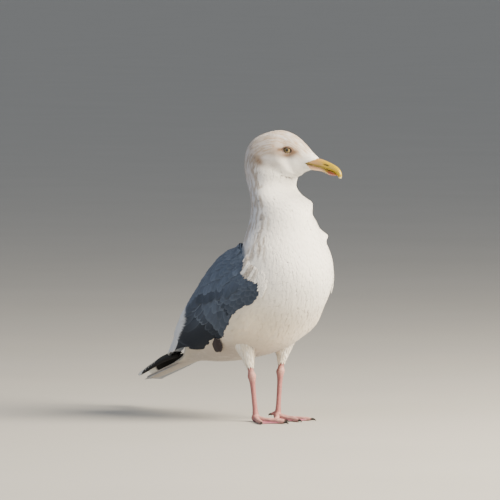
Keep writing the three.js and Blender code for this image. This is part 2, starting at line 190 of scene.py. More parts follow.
@dataclass(frozen=True)
class Finish(ABC):
    """A material that takes its colour from the piece's tone, shaded by a pattern of its own."""

    name: str

    @abstractmethod
    def pattern(self, tree: bpy.types.NodeTree, place: bpy.types.NodeSocket) -> tuple[bpy.types.NodeSocket, dict]:
        """Builds the pattern.

        Args:
            tree: The material's node tree.
            place: Object coordinates.

        Returns:
            How light the tone is at each place, and the surface's own sockets by name.
        """

    def material(self) -> bpy.types.Material:
        """The finish as a material."""
        material, tree = empty_material(self.name)
        tone = add_node(tree, "ShaderNodeAttribute", {"attribute_name": "tone"})
        spot = add_node(tree, "ShaderNodeTexCoord")
        shade, sockets = self.pattern(tree, spot.outputs["Object"])
        colour = add_node(tree, "ShaderNodeMix", {"data_type": "RGBA", "blend_type": "MULTIPLY"}, Factor=1.0)
        tree.links.new(tone.outputs["Color"], colour.inputs[6])
        tree.links.new(shade, colour.inputs[7])
        surface = add_node(tree, "ShaderNodeBsdfPrincipled", None, Base_Color=colour.outputs[2], **sockets)
        add_node(tree, "ShaderNodeOutputMaterial", None, Surface=surface.outputs[0])
        return material


@dataclass(frozen=True)
class Feather(Finish):
    """Contour and flight feathers: keratin vanes of fine parallel barbs, dry and matt, with a soft sheen.

    The eye sees a colour that is even along a feather, hair lines at a slant to its shaft and no gloss.
    Barbs are about 0.4 mm apart on a flight feather and are drawn a few times coarser, to show.
    """

    roughness: float = 0.78
    sheen: float = 0.25
    barbs: float = 30.0  # hair lines over the length of a vane
    relief: float = 0.25
    gloss: float = 0.25

    def pattern(self, tree: bpy.types.NodeTree, place: bpy.types.NodeSocket) -> tuple[bpy.types.NodeSocket, dict]:
        """Slanting barbs, in patches of uneven strength, low enough to catch light only from the side."""
        vane = add_node(tree, "ShaderNodeUVMap", {"uv_map": "vane"})
        # The barbs slant away from the shaft on both sides: along the vane less how far out they are.
        split = add_node(tree, "ShaderNodeSeparateXYZ", None, Vector=vane.outputs[0])
        out = add_node(tree, "ShaderNodeMath", {"operation": "ABSOLUTE"}, i0=split.outputs[0])
        back = add_node(tree, "ShaderNodeMath", {"operation": "MULTIPLY_ADD"}, i0=out.outputs[0], i1=-0.35)
        tree.links.new(split.outputs[1], back.inputs[2])
        line = add_node(tree, "ShaderNodeCombineXYZ", None, X=back.outputs[0])
        bands = {"wave_type": "BANDS", "bands_direction": "X"}
        scale = self.barbs / BANDS_PER_SCALE
        barb = add_node(
            tree, "ShaderNodeTexWave", bands, Vector=line.outputs[0], Scale=scale, Distortion=1.2, Detail=1.0
        )
        cloud = add_node(tree, "ShaderNodeTexNoise", None, Vector=place, Scale=420.0, Detail=3.0)
        line, patch = barb.outputs["Fac"], cloud.outputs["Fac"]
        both = add_node(tree, "ShaderNodeMath", {"operation": "MULTIPLY"}, i0=line, i1=patch)
        light = {"From_Max": 0.6, "To_Min": 0.93, "To_Max": 1.03}
        shade = add_node(tree, "ShaderNodeMapRange", None, Value=both.outputs[0], **light)
        bump = add_node(tree, "ShaderNodeBump", None, Height=barb.outputs["Fac"], Strength=self.relief, Distance=0.0002)
        return shade.outputs[0], {
            "Normal": bump.outputs[0],
            "Roughness": self.roughness,
            "IOR": 1.54,
            "Specular_IOR_Level": self.gloss,
            "Sheen_Weight": self.sheen,
            "Sheen_Roughness": 0.6,
        }


@dataclass(frozen=True)
class Hide(Finish):
    """Skin: matt under the feathers, and scaled, waxy and a little moist on the legs and feet.

    The scales on a gull's leg are 1 to 2 mm across, a mosaic of low cushions with a thin line between.
    """

    roughness: float = 0.5
    scale_mm: float = 1.5
    relief: float = 0.4
    subsurface: float = 0.08

    def pattern(self, tree: bpy.types.NodeTree, place: bpy.types.NodeSocket) -> tuple[bpy.types.NodeSocket, dict]:
        """Raised cushions with darker grooves between, over soft blotches."""
        cells = add_node(
            tree, "ShaderNodeTexVoronoi", {"feature": "DISTANCE_TO_EDGE"}, Vector=place, Scale=1 / (self.scale_mm * MM)
        )
        cushion = add_node(
            tree, "ShaderNodeMapRange", {"interpolation_type": "SMOOTHSTEP"}, Value=cells.outputs[0], From_Max=0.25
        )
        blotch = add_node(tree, "ShaderNodeTexNoise", None, Vector=place, Scale=160.0, Detail=4.0)
        groove = add_node(tree, "ShaderNodeMapRange", None, Value=cushion.outputs[0], To_Min=0.8)
        mottle = add_node(tree, "ShaderNodeMapRange", None, Value=blotch.outputs["Fac"], To_Min=0.86, To_Max=1.12)
        shade = add_node(tree, "ShaderNodeMath", {"operation": "MULTIPLY"}, i0=groove.outputs[0], i1=mottle.outputs[0])
        bump = add_node(tree, "ShaderNodeBump", None, Height=cushion.outputs[0], Strength=self.relief, Distance=0.0004)
        return shade.outputs[0], {
            "Normal": bump.outputs[0],
            "Roughness": self.roughness,
            "IOR": 1.45,
            "Subsurface_Weight": self.subsurface,
            "Subsurface_Radius": (1.0, 0.35, 0.2),
            "Subsurface_Scale": 0.002,
        }


@dataclass(frozen=True)
class Horn(Finish):
    """Bill and claws: layered keratin, worn smooth, waxy to satin, with fine growth lines along it."""

    roughness: float = 0.34
    coat: float = 0.15
    relief: float = 0.15
    grain_mm: float = 0.7

    def pattern(self, tree: bpy.types.NodeTree, place: bpy.types.NodeSocket) -> tuple[bpy.types.NodeSocket, dict]:
        """Growth lines along the bill: a noise drawn out that way."""
        along = (0.0, math.radians(22), math.radians(-HEAD_TURN))
        turned = add_node(tree, "ShaderNodeMapping", None, Vector=place, Rotation=along, Scale=(0.12, 1.0, 1.0))
        scale = 1 / (self.grain_mm * MM)
        grain = add_node(tree, "ShaderNodeTexNoise", None, Vector=turned.outputs[0], Scale=scale, Detail=3.0)
        shade = add_node(tree, "ShaderNodeMapRange", None, Value=grain.outputs["Fac"], To_Min=0.86, To_Max=1.1)
        height = grain.outputs["Fac"]
        bump = add_node(tree, "ShaderNodeBump", None, Height=height, Strength=self.relief, Distance=0.0003)
        return shade.outputs[0], {
            "Normal": bump.outputs[0],
            "Roughness": self.roughness,
            "IOR": 1.54,
            "Coat_Weight": self.coat,
            "Coat_Roughness": 0.25,
        }


@dataclass(frozen=True)
class WetEye(Finish):
    """An eye behind its clear cornea: a smooth, wet gloss over a fibrous iris."""

    def pattern(self, tree: bpy.types.NodeTree, place: bpy.types.NodeSocket) -> tuple[bpy.types.NodeSocket, dict]:
        """Fibres too fine to stand apart, as uneven light and dark under the gloss."""
        fibre = add_node(tree, "ShaderNodeTexNoise", None, Vector=place, Scale=1600.0, Detail=2.0)
        shade = add_node(tree, "ShaderNodeMapRange", None, Value=fibre.outputs["Fac"], To_Min=0.8, To_Max=1.15)
        return shade.outputs[0], {"Roughness": 0.25, "IOR": 1.38, "Coat_Weight": 1.0, "Coat_Roughness": 0.02}


# ---------------------------------------------------------------- forms


def station(
    x: float, z: float, pitch: float, half: float, back: float, belly: float, yaw: float = 0.0, y: float = 0.0
) -> tuple[float, ...]:
    """One cross section of a swept form.

    Args:
        x: The middle's place ahead.
        z: The middle's place up.
        pitch: How steeply the form climbs through it.
        half: The reach to either side.
        back: The reach to the back.
        belly: The reach to the belly.
        yaw: The turn to the bird's left.
        y: The middle's place to the left.

    Returns:
        The eight numbers in the order that Loft keeps.
    """
    return (x, y, z, pitch, yaw, half, back, belly)


def head_point(ahead: Array, left: Array, up: Array) -> Array:
    """Design-frame points from places in the head's own frame, which is turned about the eye line."""
    c, s = math.cos(math.radians(HEAD_TURN)), math.sin(math.radians(HEAD_TURN))
    ahead, left, up = np.broadcast_arrays(ahead, left, up)
    return np.stack([ahead * c - left * s, ahead * s + left * c, up.astype(float)], -1) + EYE_LINE


def head_frame(point: Array) -> Array:
    """The way back: ahead, left and up of the eye line for design-frame points."""
    c, s = math.cos(math.radians(HEAD_TURN)), math.sin(math.radians(HEAD_TURN))
    d = point - EYE_LINE
    return np.stack([d[..., 0] * c + d[..., 1] * s, d[..., 1] * c - d[..., 0] * s, d[..., 2]], -1)


def head_station(ahead: float, up: float, pitch: float, half: float, back: float, belly: float) -> tuple[float, ...]:
    """A station given in the head's own turned frame."""
    middle = head_point(ahead, 0.0, up)
    return station(middle[0], middle[2], pitch, half, back, belly, HEAD_TURN, middle[1])


def through(rows: Array, at: Array) -> Array:
    """Smooth values through evenly numbered rows.

    Between rows i and i + 1 it is the cubic that meets both, with half the difference of the rows
    on either side as its slope at each. Past the ends the first and last steps are repeated.

    Args:
        rows: The rows to pass through.
        at: Places, counted in rows.

    Returns:
        One row of values for each place.
    """
    ends = np.vstack([2 * rows[0] - rows[1], rows, 2 * rows[-1] - rows[-2]])
    at = np.clip(np.asarray(at, float), 0, len(rows) - 1)
    i = np.minimum(at.astype(int), len(rows) - 2)
    w = (at - i)[..., None]
    p0, p1, p2, p3 = ends[i], ends[i + 1], ends[i + 2], ends[i + 3]
    slope, next_slope = (p2 - p0) / 2, (p3 - p1) / 2
    rise = -3 * p1 + 3 * p2 - 2 * slope - next_slope
    return p1 + slope * w + rise * w**2 + (2 * p1 - 2 * p2 + slope + next_slope) * w**3


@dataclass(frozen=True)
class Loft:
    """A form swept through stations.

    A point is the station's middle, plus left times cos(angle) times the half width, plus up times
    sin(angle) times the reach to the back or the belly. On the upper half both factors are raised to
    2 / squareness, which fills the corners between the back and the sides.
    """

    stations: Array
    squareness: float = 2.0

    def point(self, at: Array, angle: Array, grow: Array | float = 0.0) -> Array:
        """Points on the form.

        Args:
            at: Places along it, counted in stations.
            angle: Angles round it: 0 left, 90 back, 180 right and 270 belly.
            grow: What is added to every reach.

        Returns:
            Design-frame points.
        """
        at, angle, grow = np.broadcast_arrays(at, angle, grow)
        s = through(self.stations, at)
        pitch, yaw, turn = np.radians(s[..., 3]), np.radians(s[..., 4]), np.radians(angle)
        left = np.stack([-np.sin(yaw), np.cos(yaw), 0 * yaw], -1)
        up = np.stack([-np.sin(pitch) * np.cos(yaw), -np.sin(pitch) * np.sin(yaw), np.cos(pitch)], -1)
        across, rise = np.cos(turn), np.sin(turn)
        power = np.where(rise > 0, 2 / self.squareness, 1.0)
        across = np.sign(across) * np.abs(across) ** power
        reach = np.where(rise > 0, s[..., 6], s[..., 7]) + grow
        rise = np.sign(rise) * np.abs(rise) ** power
        return s[..., :3] + left * (across * (s[..., 5] + grow))[..., None] + up * (rise * reach)[..., None]


SPINE = np.array(
    [
        station(-309, 42.8, 14, 6, 0.8, 1),
        station(-305, 44.2, 14, 11, 0.9, 1.6),
        station(-292, 48.6, 15, 14, 1.2, 2.4),
        station(-256, 59.4, 16, 15, 1.8, 3),
        station(-222, 69.6, 16, 15.5, 3.6, 4),
        station(-195, 78.6, 16, 18, 10, 6.5),
        station(-165, 95, 18, 31, 23, 20),
        station(-127, 117, 27, 51, 35, 44),
        station(-78, 136, 36, 66, 51, 61.5),
        station(-27, 160, 42, 73, 67, 77.5),
        station(12, 191, 45, 74, 66, 80),
        station(47, 216, 50, 70, 60, 74),
        station(56, 245, 65, 60, 64, 76),
        station(49.5, 275, 80, 46, 58.5, 56),
        station(40.5, 300, 92, 39, 48.2, 50, 5),
        station(26.2, 318, 100, 36, 36.2, 29.5, 12),
        head_station(-40.6, -49, 93, 33, 34, 35.2),
        head_station(-40.2, -29, 75, 34.4, 42, 39.6),
        head_station(-34.4, -14.3, 54, 33, 44, 41),
        head_station(-13.5, -5.6, 32, 29.2, 37.2, 36.4),
        head_station(0, -6, 15, 21.5, 30, 31),
        head_station(11.7, -9.1, 0, 17.4, 20.4, 24),
        head_station(22.6, -14.8, -20, 12, 14, 17),
        head_station(33.7, -18.9, -35, 8.1, 10.1, 10.5),
        head_station(36.5, -20.2, -35, 5, 7, 7),
    ]
)
CLOAK = np.array(
    [
        station(-236, 64, 16, 30, 13, 12),
        station(-210, 74, 17, 40, 19, 18),
        station(-170, 94, 20, 51, 35, 26),
        station(-128, 120, 27, 64, 39, 45),
        station(-80, 140, 36, 74, 53.5, 62),
        station(-30, 162, 42, 79.5, 71.5, 82),
        station(10, 193, 45, 80, 68.5, 86),
        station(44, 217, 50, 73, 60, 79),
        station(56, 245, 65, 61, 65, 77.5),
    ]
)
# Along the cloak: place, angle of a wing's upper edge and of its lower edge, and the wing's thickness.
WING_EDGES = np.array(
    [
        (0.78, 76, 50, 1.5),
        (1.02, 84, 30, 3),
        (1.45, 88, 8, 4.5),
        (2, 88.6, -10, 6),
        (3, 88.8, -37, 9),
        (4, 88.8, -45, 11),
        (5, 88.6, -35, 11),
        (5.5, 86.5, -30, 10),
        (6, 83, -34, 9),
        (7, 58, -35, 6.5),
        (7.4, 43, -29, 5),
        (7.7, 26, -10, 3),
    ]
)
# The folded primaries on the right: middle line, half depth and half thickness.
PRIMARIES = np.array(
    [
        (-190, -28, 84, 9, 2.2),
        (-212, -26, 80, 11, 2.4),
        (-237, -23, 75, 12, 2.4),
        (-264, -19, 68, 11.5, 2),
        (-292, -14.5, 60, 9.5, 1.6),
        (-312, -11.7, 54.5, 6, 1.1),
        (-322, -10, 51.5, 2.2, 0.6),
    ]
)
PRIMARIES_LEAN = 46.0
UPPER_BILL = np.array(
    [
        head_station(22, -17.6, -10, 10.4, 5.4, 0.8),
        head_station(29, -18.9, -11, 9.2, 7.4, 0.8),
        head_station(36, -20.2, -12, 8.2, 9, 1.6),
        head_station(43, -21.7, -13, 7.4, 9.8, 1.9),
        head_station(53, -24.2, -15, 6.6, 9.4, 1.4),
        head_station(63, -26.4, -17, 5.6, 7.9, 0.4),
        head_station(70, -28.6, -26, 4.6, 6.7, 0.3),
        head_station(74.6, -31.9, -46, 3.6, 5.7, 0.4),
        head_station(76.8, -35.8, -68, 2.6, 4.2, 0.6),
        head_station(77.9, -38.4, -80, 1.2, 2, 0.5),
    ]
)
LOWER_BILL = np.array(
    [
        head_station(22, -19.4, -10, 9.8, 0.4, 6),
        head_station(29, -20.8, -11, 8.4, 0.4, 6.5),
        head_station(36, -22.2, -12, 7.1, 0.4, 6.4),
        head_station(44, -24, -12, 6.2, 0.4, 5.2),
        head_station(54, -26.4, -14, 5.4, 0.8, 5),
        head_station(61, -28.8, -12, 4.9, 1.6, 5.8),
        head_station(66.5, -30.8, -9, 4.3, 2.4, 4.4),
        head_station(70.6, -32.4, -6, 3.4, 2.6, 2.9),
        head_station(73.6, -33.4, -4, 1.7, 1.3, 1.5),
    ]
)


def design_shift() -> Array:
    """How far the row frame lies from the design frame, read from the right eye's solid."""
    low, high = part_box("eye_right")
    middle = (np.array(low) + np.array(high)) / 2 / MM
    return middle - head_point(0.0, -EYE_OUT, 0.0)


SHIFT = design_shift()


# ---------------------------------------------------------------- charts: surfaces with two places


class Chart(ABC):
    """A surface with a place (u, v) at every point, u running along the lie of its feathers."""

    outward: float = 1.0  # 1 if v's way crossed with u's way points out
    flow: float = -1.0  # the way that feathers lie along u
    step_u: float = 0.01
    step_v: float = 0.5
    slowest: float = 0.05  # the least run of the surface, in millimetres for one unit of u, that feathers follow

    @abstractmethod
    def point(self, u: Array, v: Array) -> Array:
        """Design-frame points at places (u, v)."""

    def slopes(self, u: Array, v: Array) -> tuple[Array, Array, Array]:
        """How the surface runs at each place, by the difference over a short step each way.

        Args:
            u: First places.
            v: Second places.

        Returns:
            Millimetres moved for one unit of u, the same for v, and the unit normal that points out.
        """
        along = (self.point(u + self.step_u, v) - self.point(u - self.step_u, v)) / (2 * self.step_u)
        across = (self.point(u, v + self.step_v) - self.point(u, v - self.step_v)) / (2 * self.step_v)
        normal = np.cross(across, along) * self.outward
        normal /= np.linalg.norm(normal, axis=-1, keepdims=True) + 1e-9
        return np.linalg.norm(along, axis=-1), np.linalg.norm(across, axis=-1), normal


@dataclass(frozen=True)
class Ruffle:
    """A lump where wind or a bend lifts the plumage, as a bell over the spine's (place, angle)."""

    at: float
    angle: float
    height: float
    reach_at: float
    reach_angle: float

    def rise(self, at: Array, angle: Array) -> Array:
        """The lump's height at each place."""
        turn = wrapped(angle - self.angle)
        return self.height * np.exp(-(((at - self.at) / self.reach_at) ** 2) - (turn / self.reach_angle) ** 2)


@dataclass(frozen=True)
class BodyChart(Chart):
    """The body's outer form, with its eye sockets and ruffles; u is the spine's place and v the angle."""

    loft: Loft
    ruffles: tuple[Ruffle, ...] = ()
    slowest: float = 9.0
    socket_depth: float = 1.1
    socket_reach: float = 1.5

    def bill_seat(self, point: Array) -> Array:
        """Where the bill's base is bare.

        The feathers' edge is furthest back at the gape and runs forward from it to the culmen and the chin.

        Args:
            point: Design-frame points on the head.

        Returns:
            1 ahead of the feathers' edge and 0 on the feathers.
        """
        ahead, _, up = np.moveaxis(head_frame(point), -1, 0)
        above = up + 18.2 + 0.17 * (ahead - 25)
        reach = np.where(above > 0, 15.5, 11.0)
        edge = 24.5 + reach * np.clip(np.abs(above) / 8.0, 0, 1) ** 0.9
        return smoothstep(-0.8, 0.8, ahead - edge) * smoothstep(-44, -38, up)

    def eye_distance(self, point: Array) -> Array:
        """How far each point is from the nearer eye, in half lengths of its almond opening."""
        ahead, left, up = np.moveaxis(head_frame(point), -1, 0)
        away = np.hypot((ahead - EYE_SEAT[0]) / LID_HALF[0], (up - EYE_SEAT[1]) / LID_HALF[1])
        return np.where(np.abs(left) > EYE_OUT - 4, away, 99.0)

    def point(self, u: Array, v: Array) -> Array:
        """Design-frame points at places (u, v)."""
        bare = self.loft.point(u, v)
        grow = sum((r.rise(u, v) for r in self.ruffles), np.zeros(bare.shape[:-1]))
        grow = grow - self.socket_depth * np.exp(-((self.eye_distance(bare) / self.socket_reach) ** 4))
        return self.loft.point(u, v, grow)


@dataclass(frozen=True)
class CloakChart(Chart):
    """One side of the form that the back and both folded wings share; u is the cloak's place."""

    side: Side = Side.RIGHT
    loft: Loft = field(default_factory=lambda: Loft(CLOAK, 2.6))

    @property
    def outward(self) -> float:
        """Angles run the other way round on the right."""
        return float(self.side.value)

    def from_side(self, u: Array, angle: Array) -> Array:
        """Design-frame points, by the angle up from straight out to this side."""
        return self.loft.point(u, angle if self.side is Side.LEFT else 180 - angle)


@dataclass(frozen=True)
class WingChart(CloakChart):
    """One folded wing's face; v goes from 0 at the lower edge to 1 at the upper."""

    step_v: float = 0.01

    def edges(self, u: Array) -> tuple[Array, Array, Array]:
        """The upper and lower edges' angles and the thickness, through the table's rows."""
        rows = through(WING_EDGES, np.linspace(0, len(WING_EDGES) - 1, 200))
        return tuple(np.interp(u, rows[:, 0], rows[:, i]) for i in (1, 2, 3))

    def angle(self, u: Array, v: Array) -> Array:
        """The angle up from straight out to the side, at each place."""
        upper, lower, _ = self.edges(u)
        return lower + (upper - lower) * v

    def point(self, u: Array, v: Array) -> Array:
        """Design-frame points at places (u, v)."""
        return self.from_side(u, self.angle(u, v))


@dataclass(frozen=True)
class ShoulderChart(CloakChart):
    """The back over one wing; v is the angle up from straight out to the side."""

    def point(self, u: Array, v: Array) -> Array:
        """Design-frame points at places (u, v)."""
        return self.from_side(u, v)


@dataclass(frozen=True)
class BladeChart(Chart):
    """The flat of the folded primaries; u is the blade's place from its root and v from edge to edge.

    A point is the middle line plus v times the half depth along a line that leans in towards the back.
    """

    side: Side = Side.RIGHT
    flow: float = 1.0
    step_v: float = 0.05

    @property
    def outward(self) -> float:
        """v runs up and u back, so the right side's normal is the other way round."""
        return float(-self.side.value)

    def point(self, u: Array, v: Array) -> Array:
        """Design-frame points at places (u, v)."""
        u, v = np.broadcast_arrays(u, v)
        row = through(PRIMARIES, u)
        lean, deep = math.radians(PRIMARIES_LEAN), row[..., 3] * v
        out = np.abs(row[..., 1]) - deep * math.sin(lean)
        past = np.maximum(u - (len(PRIMARIES) - 1), 0) * 12
        up = row[..., 2] + deep * math.cos(lean) - past * 0.3
        return np.stack([row[..., 0] - past, self.side.value * out, up], -1)


@dataclass(frozen=True)
class FanChart(Chart):
    """The tail's flat; u is the spine's place and v millimetres to the left, with a low arch across."""

    loft: Loft
    outward: float = -1.0
    step_v: float = 1.0
    arch: float = 0.004

    def point(self, u: Array, v: Array) -> Array:
        """Design-frame points: the spine's middle at u, moved left by v and down by arch times v squared."""
        u, v = np.broadcast_arrays(u, v)
        row = through(self.loft.stations, u)
        pitch = np.radians(row[..., 3])
        up = np.stack([-np.sin(pitch), 0 * pitch, np.cos(pitch)], -1)
        left = np.stack([0 * pitch, 1 + 0 * pitch, 0 * pitch], -1)
        return row[..., :3] + left * v[..., None] - up * (self.arch * v**2)[..., None]


@dataclass(frozen=True)
class LimbChart(Chart):
    """A feathered thigh; u is its station from the belly down and v the angle round it."""

    loft: Loft
    flow: float = 1.0

    def point(self, u: Array, v: Array) -> Array:
        """Design-frame points at places (u, v)."""
        return self.loft.point(u, v)


# ---------------------------------------------------------------- meshes


@dataclass
class Patch:
    """Mesh data in the design frame: points, faces, a tone for each point and two maps."""

    points: Array
    quads: Array
    tris: Array
    tone: Array
    vane: Array
    bake: Array | None = None

    @classmethod
    def joined(cls, patches: Sequence["Patch"]) -> "Patch":
        """One patch of many, their points numbered on.

        Args:
            patches: The patches, of which all or none have a bake map.

        Returns:
            The whole.
        """
        starts = np.cumsum([0] + [len(p.points) for p in patches[:-1]])
        return cls(
            np.concatenate([p.points for p in patches]),
            np.concatenate([p.quads + s for p, s in zip(patches, starts)]),
            np.concatenate([p.tris + s for p, s in zip(patches, starts)]),
            np.concatenate([p.tone for p in patches]),
            np.concatenate([p.vane for p in patches]),
            np.concatenate([p.bake for p in patches]) if all(p.bake is not None for p in patches) else None,
        )

    @classmethod
    def tube(cls, rings: Array, tone: Array) -> "Patch":
        """A closed surface through rings of points, shut at each end by a fan to the ring's middle.

        Args:
            rings: Rows of points round the form, each row in the same sense.
            tone: A colour for each point.

        Returns:
            The patch, its faces pointing out where the rows run with the rings' right-hand way.
        """
        rows, sides, _ = rings.shape
        index = np.arange(rows * sides).reshape(rows, sides)
        around = np.roll(index, -1, 1)
        quads = np.stack([index[:-1], around[:-1], around[1:], index[1:]], -1).reshape(-1, 4)
        first, last = rows * sides, rows * sides + 1
        tris = np.concatenate(
            [
                np.stack([np.full(sides, first), around[0], index[0]], -1),
                np.stack([np.full(sides, last), index[-1], around[-1]], -1),
            ]
        )
        points = np.concatenate([rings.reshape(-1, 3), rings[0].mean(0)[None], rings[-1].mean(0)[None]])
        tones = np.concatenate([tone.reshape(-1, 3), tone[0].mean(0)[None], tone[-1].mean(0)[None]])
        vane = np.stack([(index % sides) / sides, index // sides / rows], -1).reshape(-1, 2)
        return cls(points, quads, tris, tones, np.concatenate([vane, [[0, 0], [0, 1]]]))

    @classmethod
    def plate(cls, top: Array, bottom: Array, tone: Array) -> "Patch":
        """A closed plate between two grids of points, with walls along its four edges.

        Args:
            top: A grid whose rows crossed with its columns point out.
            bottom: The grid under it.
            tone: A colour for each point of one grid.

        Returns:
            The patch.
        """
        rows, columns, _ = top.shape
        index = np.arange(rows * columns).reshape(rows, columns)
        under = index + rows * columns
        face = np.stack([index[:-1, :-1], index[1:, :-1], index[1:, 1:], index[:-1, 1:]], -1).reshape(-1, 4)
        rim = np.concatenate([index[0, :-1], index[:-1, -1], index[-1, :0:-1], index[:0:-1, 0]])
        ahead = np.roll(rim, -1)
        walls = np.stack([rim, ahead, ahead + rows * columns, rim + rows * columns], -1)
        quads = np.concatenate([face, under.ravel()[0] + face[:, ::-1], walls])
        points = np.concatenate([top.reshape(-1, 3), bottom.reshape(-1, 3)])
        vane = np.stack([index % columns / columns, index // columns / rows], -1).reshape(-1, 2)
        tones = tone.reshape(-1, 3)
        return cls(points, quads, np.zeros((0, 3), int), np.tile(tones, (2, 1)), np.tile(vane, (2, 1)))

    def flipped(self) -> "Patch":
        """The same patch with its faces turned over."""
        return Patch(self.points, self.quads[:, ::-1], self.tris[:, ::-1], self.tone, self.vane, self.bake)

    def mesh(self, name: str) -> bpy.types.Mesh:
        """Writes the patch into a mesh in the row frame, in metres.

        Args:
            name: The mesh's name.

        Returns:
            The mesh, with its tone and its maps named vane and, if there is one, OFBake.
        """
        mesh = bpy.data.meshes.new(name)
        corners = np.concatenate([self.quads.ravel(), self.tris.ravel()]).astype(np.int32)
        starts = np.concatenate(
            [np.arange(len(self.quads)) * 4, len(self.quads) * 4 + np.arange(len(self.tris)) * 3]
        ).astype(np.int32)
        mesh.vertices.add(len(self.points))
        mesh.vertices.foreach_set("co", ((self.points + SHIFT) * MM).astype(np.float32).ravel())
        mesh.loops.add(len(corners))
        mesh.loops.foreach_set("vertex_index", corners)
        mesh.polygons.add(len(starts))
        mesh.polygons.foreach_set("loop_start", starts)
        mesh.update(calc_edges=True)
        tone = mesh.attributes.new("tone", "FLOAT_COLOR", "POINT")
        coloured = np.concatenate([np.clip(self.tone, 0, 1), np.ones((len(self.tone), 1))], 1)
        tone.data.foreach_set("color", coloured.astype(np.float32).ravel())
        for title, places in (("vane", self.vane), ("OFBake", self.bake)):
            if places is not None:
                layer = mesh.uv_layers.new(name=title)
                layer.uv.foreach_set("vector", places[corners].astype(np.float32).ravel())
        return mesh

    def piece(
        self, name: str, material: bpy.types.Material, slot: str, nodes: Sequence[str] = ()
    ) -> bpy.types.Object:
        """Puts the patch in the scene as a piece of the bird.

        Args:
            name: The piece's name.
            material: Its finish.
            slot: Not used.
            nodes: The solids that it stands for.

        Returns:
            The object.
        """
        thing = bpy.data.objects.new(name, self.mesh(name))
        bpy.context.scene.collection.objects.link(thing)
        thing.data.materials.append(material)
        register(thing, nodes)
        return thing


def register(thing: bpy.types.Object, nodes: Sequence[str] = ()) -> None:
    """Fixes a piece to the bird and the solids it stands for, and reports it."""
    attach(thing, "root")
    if nodes:
        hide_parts(*nodes)
    log.info("%s: %d faces", thing.name, len(thing.data.polygons))


# ---------------------------------------------------------------- feathers


@dataclass(frozen=True)
class Lattice:
    """One vane's points in its own frame, and its faces."""

    along: Array
    across: Array
    share: Array
    out: Array
    ragged: Array
    quads: Array
    tris: Array


@dataclass(frozen=True)
class Vane:
    """A vane's outline, shared by the feathers of a tract.

    Its half width grows from the root's share as a quarter sine wave up to the widest place, then
    shrinks by taper times the square of the way left. Each line along it ends short of the tip by
    roundness times its distance from the shaft to the power 2.2. Past the end stand the loose barbs.
    """

    rows: int = 3
    columns: int = 3
    root: float = 0.5
    widest: float = 0.55
    taper: float = 0.25
    roundness: float = 0.35
    barbs: float = 0.14

    def spread(self, share: Array) -> Array:
        """The half width at each share of the length, the widest being 1."""
        grown = self.root + (1 - self.root) * np.sin(np.pi / 2 * np.clip(share / self.widest, 0, 1))
        return grown - self.taper * np.clip((share - self.widest) / (1 - self.widest), 0, 1) ** 2

    def lattice(self) -> Lattice:
        """The vane's points and faces, the length and the half width being 1."""
        share, out = np.meshgrid(
            np.linspace(0, 1, self.rows + 1), np.linspace(-1, 1, self.columns + 1), indexing="ij"
        )
        along = share * (1 - self.roundness * np.abs(out) ** 2.2)
        across = out * self.spread(share)
        index = np.arange(share.size).reshape(share.shape)
        quads = np.stack([index[:-1, :-1], index[:-1, 1:], index[1:, 1:], index[1:, :-1]], -1).reshape(-1, 4)
        ragged, tris = np.zeros(share.size), np.zeros((0, 3), int)
        share, out, along, across = share.ravel(), out.ravel(), along.ravel(), across.ravel()
        if self.barbs:
            middle = (np.linspace(-1, 1, self.columns + 1)[1:] + np.linspace(-1, 1, self.columns + 1)[:-1]) / 2
            ends = 1 - self.roundness * np.abs(middle) ** 2.2
            tips = len(share) + np.arange(self.columns)
            tris = np.stack([index[-1, :-1], index[-1, 1:], tips], -1)
            along = np.concatenate([along, ends])
            across = np.concatenate([across, middle * self.spread(np.array(1.0))])
            share, out = np.concatenate([share, np.ones(self.columns)]), np.concatenate([out, middle])
            ragged = np.concatenate([ragged, np.ones(self.columns)])
        return Lattice(along, across, share, out, ragged, quads, tris)


@dataclass
class Tract:
    """A tract of feathers on a chart, one entry of each array to a feather.

    u and v are where each root lies, length and width its size, heading its turn from the lie of the
    plumage towards growing v, root and tip the heights of its two ends over the chart, camber the
    fall of its edges as a share of the half width, curl the rise of its end as a share of the length,
    rise the power of the way along that its height grows with and bend the further turn between root
    and tip.
    """

    u: Array
    v: Array
    length: Array
    width: Array
    heading: Array
    root: Array
    tip: Array
    camber: float = 0.12
    curl: float = 0.0
    rise: float = 1.15
    bend: Array | float = 0.0
    tilt: float = 0.0

    @property
    def count(self) -> int:
        """How many feathers there are."""
        return len(self.u)

    def kept(self, mask: Array) -> "Tract":
        """The feathers that the mask keeps."""
        bend = np.broadcast_to(self.bend, mask.shape)[mask]
        arrays = [x[mask] for x in (self.u, self.v, self.length, self.width, self.heading, self.root, self.tip)]
        return Tract(*arrays, self.camber, self.curl, self.rise, bend, self.tilt)


@dataclass
class Laid:
    """A tract laid on its chart: points and places for every feather, with the lattice they share."""

    points: Array
    u: Array
    v: Array
    lattice: Lattice
    flip: bool

    def patch(self, tone: Array, bake: Array) -> Patch:
        """The feathers as one patch.

        Args:
            tone: A colour for each point of each feather.
            bake: A place on the baking map for each point of each feather.

        Returns:
            The patch.
        """
        count, size, _ = self.points.shape
        start = (np.arange(count) * size)[:, None, None]
        quads = (self.lattice.quads[None] + start).reshape(-1, 4)
        tris = (self.lattice.tris[None] + start).reshape(-1, 3)
        if self.flip:
            quads, tris = quads[:, ::-1], tris[:, ::-1]
        vane = np.broadcast_to(np.stack([self.lattice.out, self.lattice.share], -1), (count, size, 2))
        return Patch(
            self.points.reshape(-1, 3), quads, tris, tone.reshape(-1, 3), vane.reshape(-1, 2), bake.reshape(-1, 2)
        )


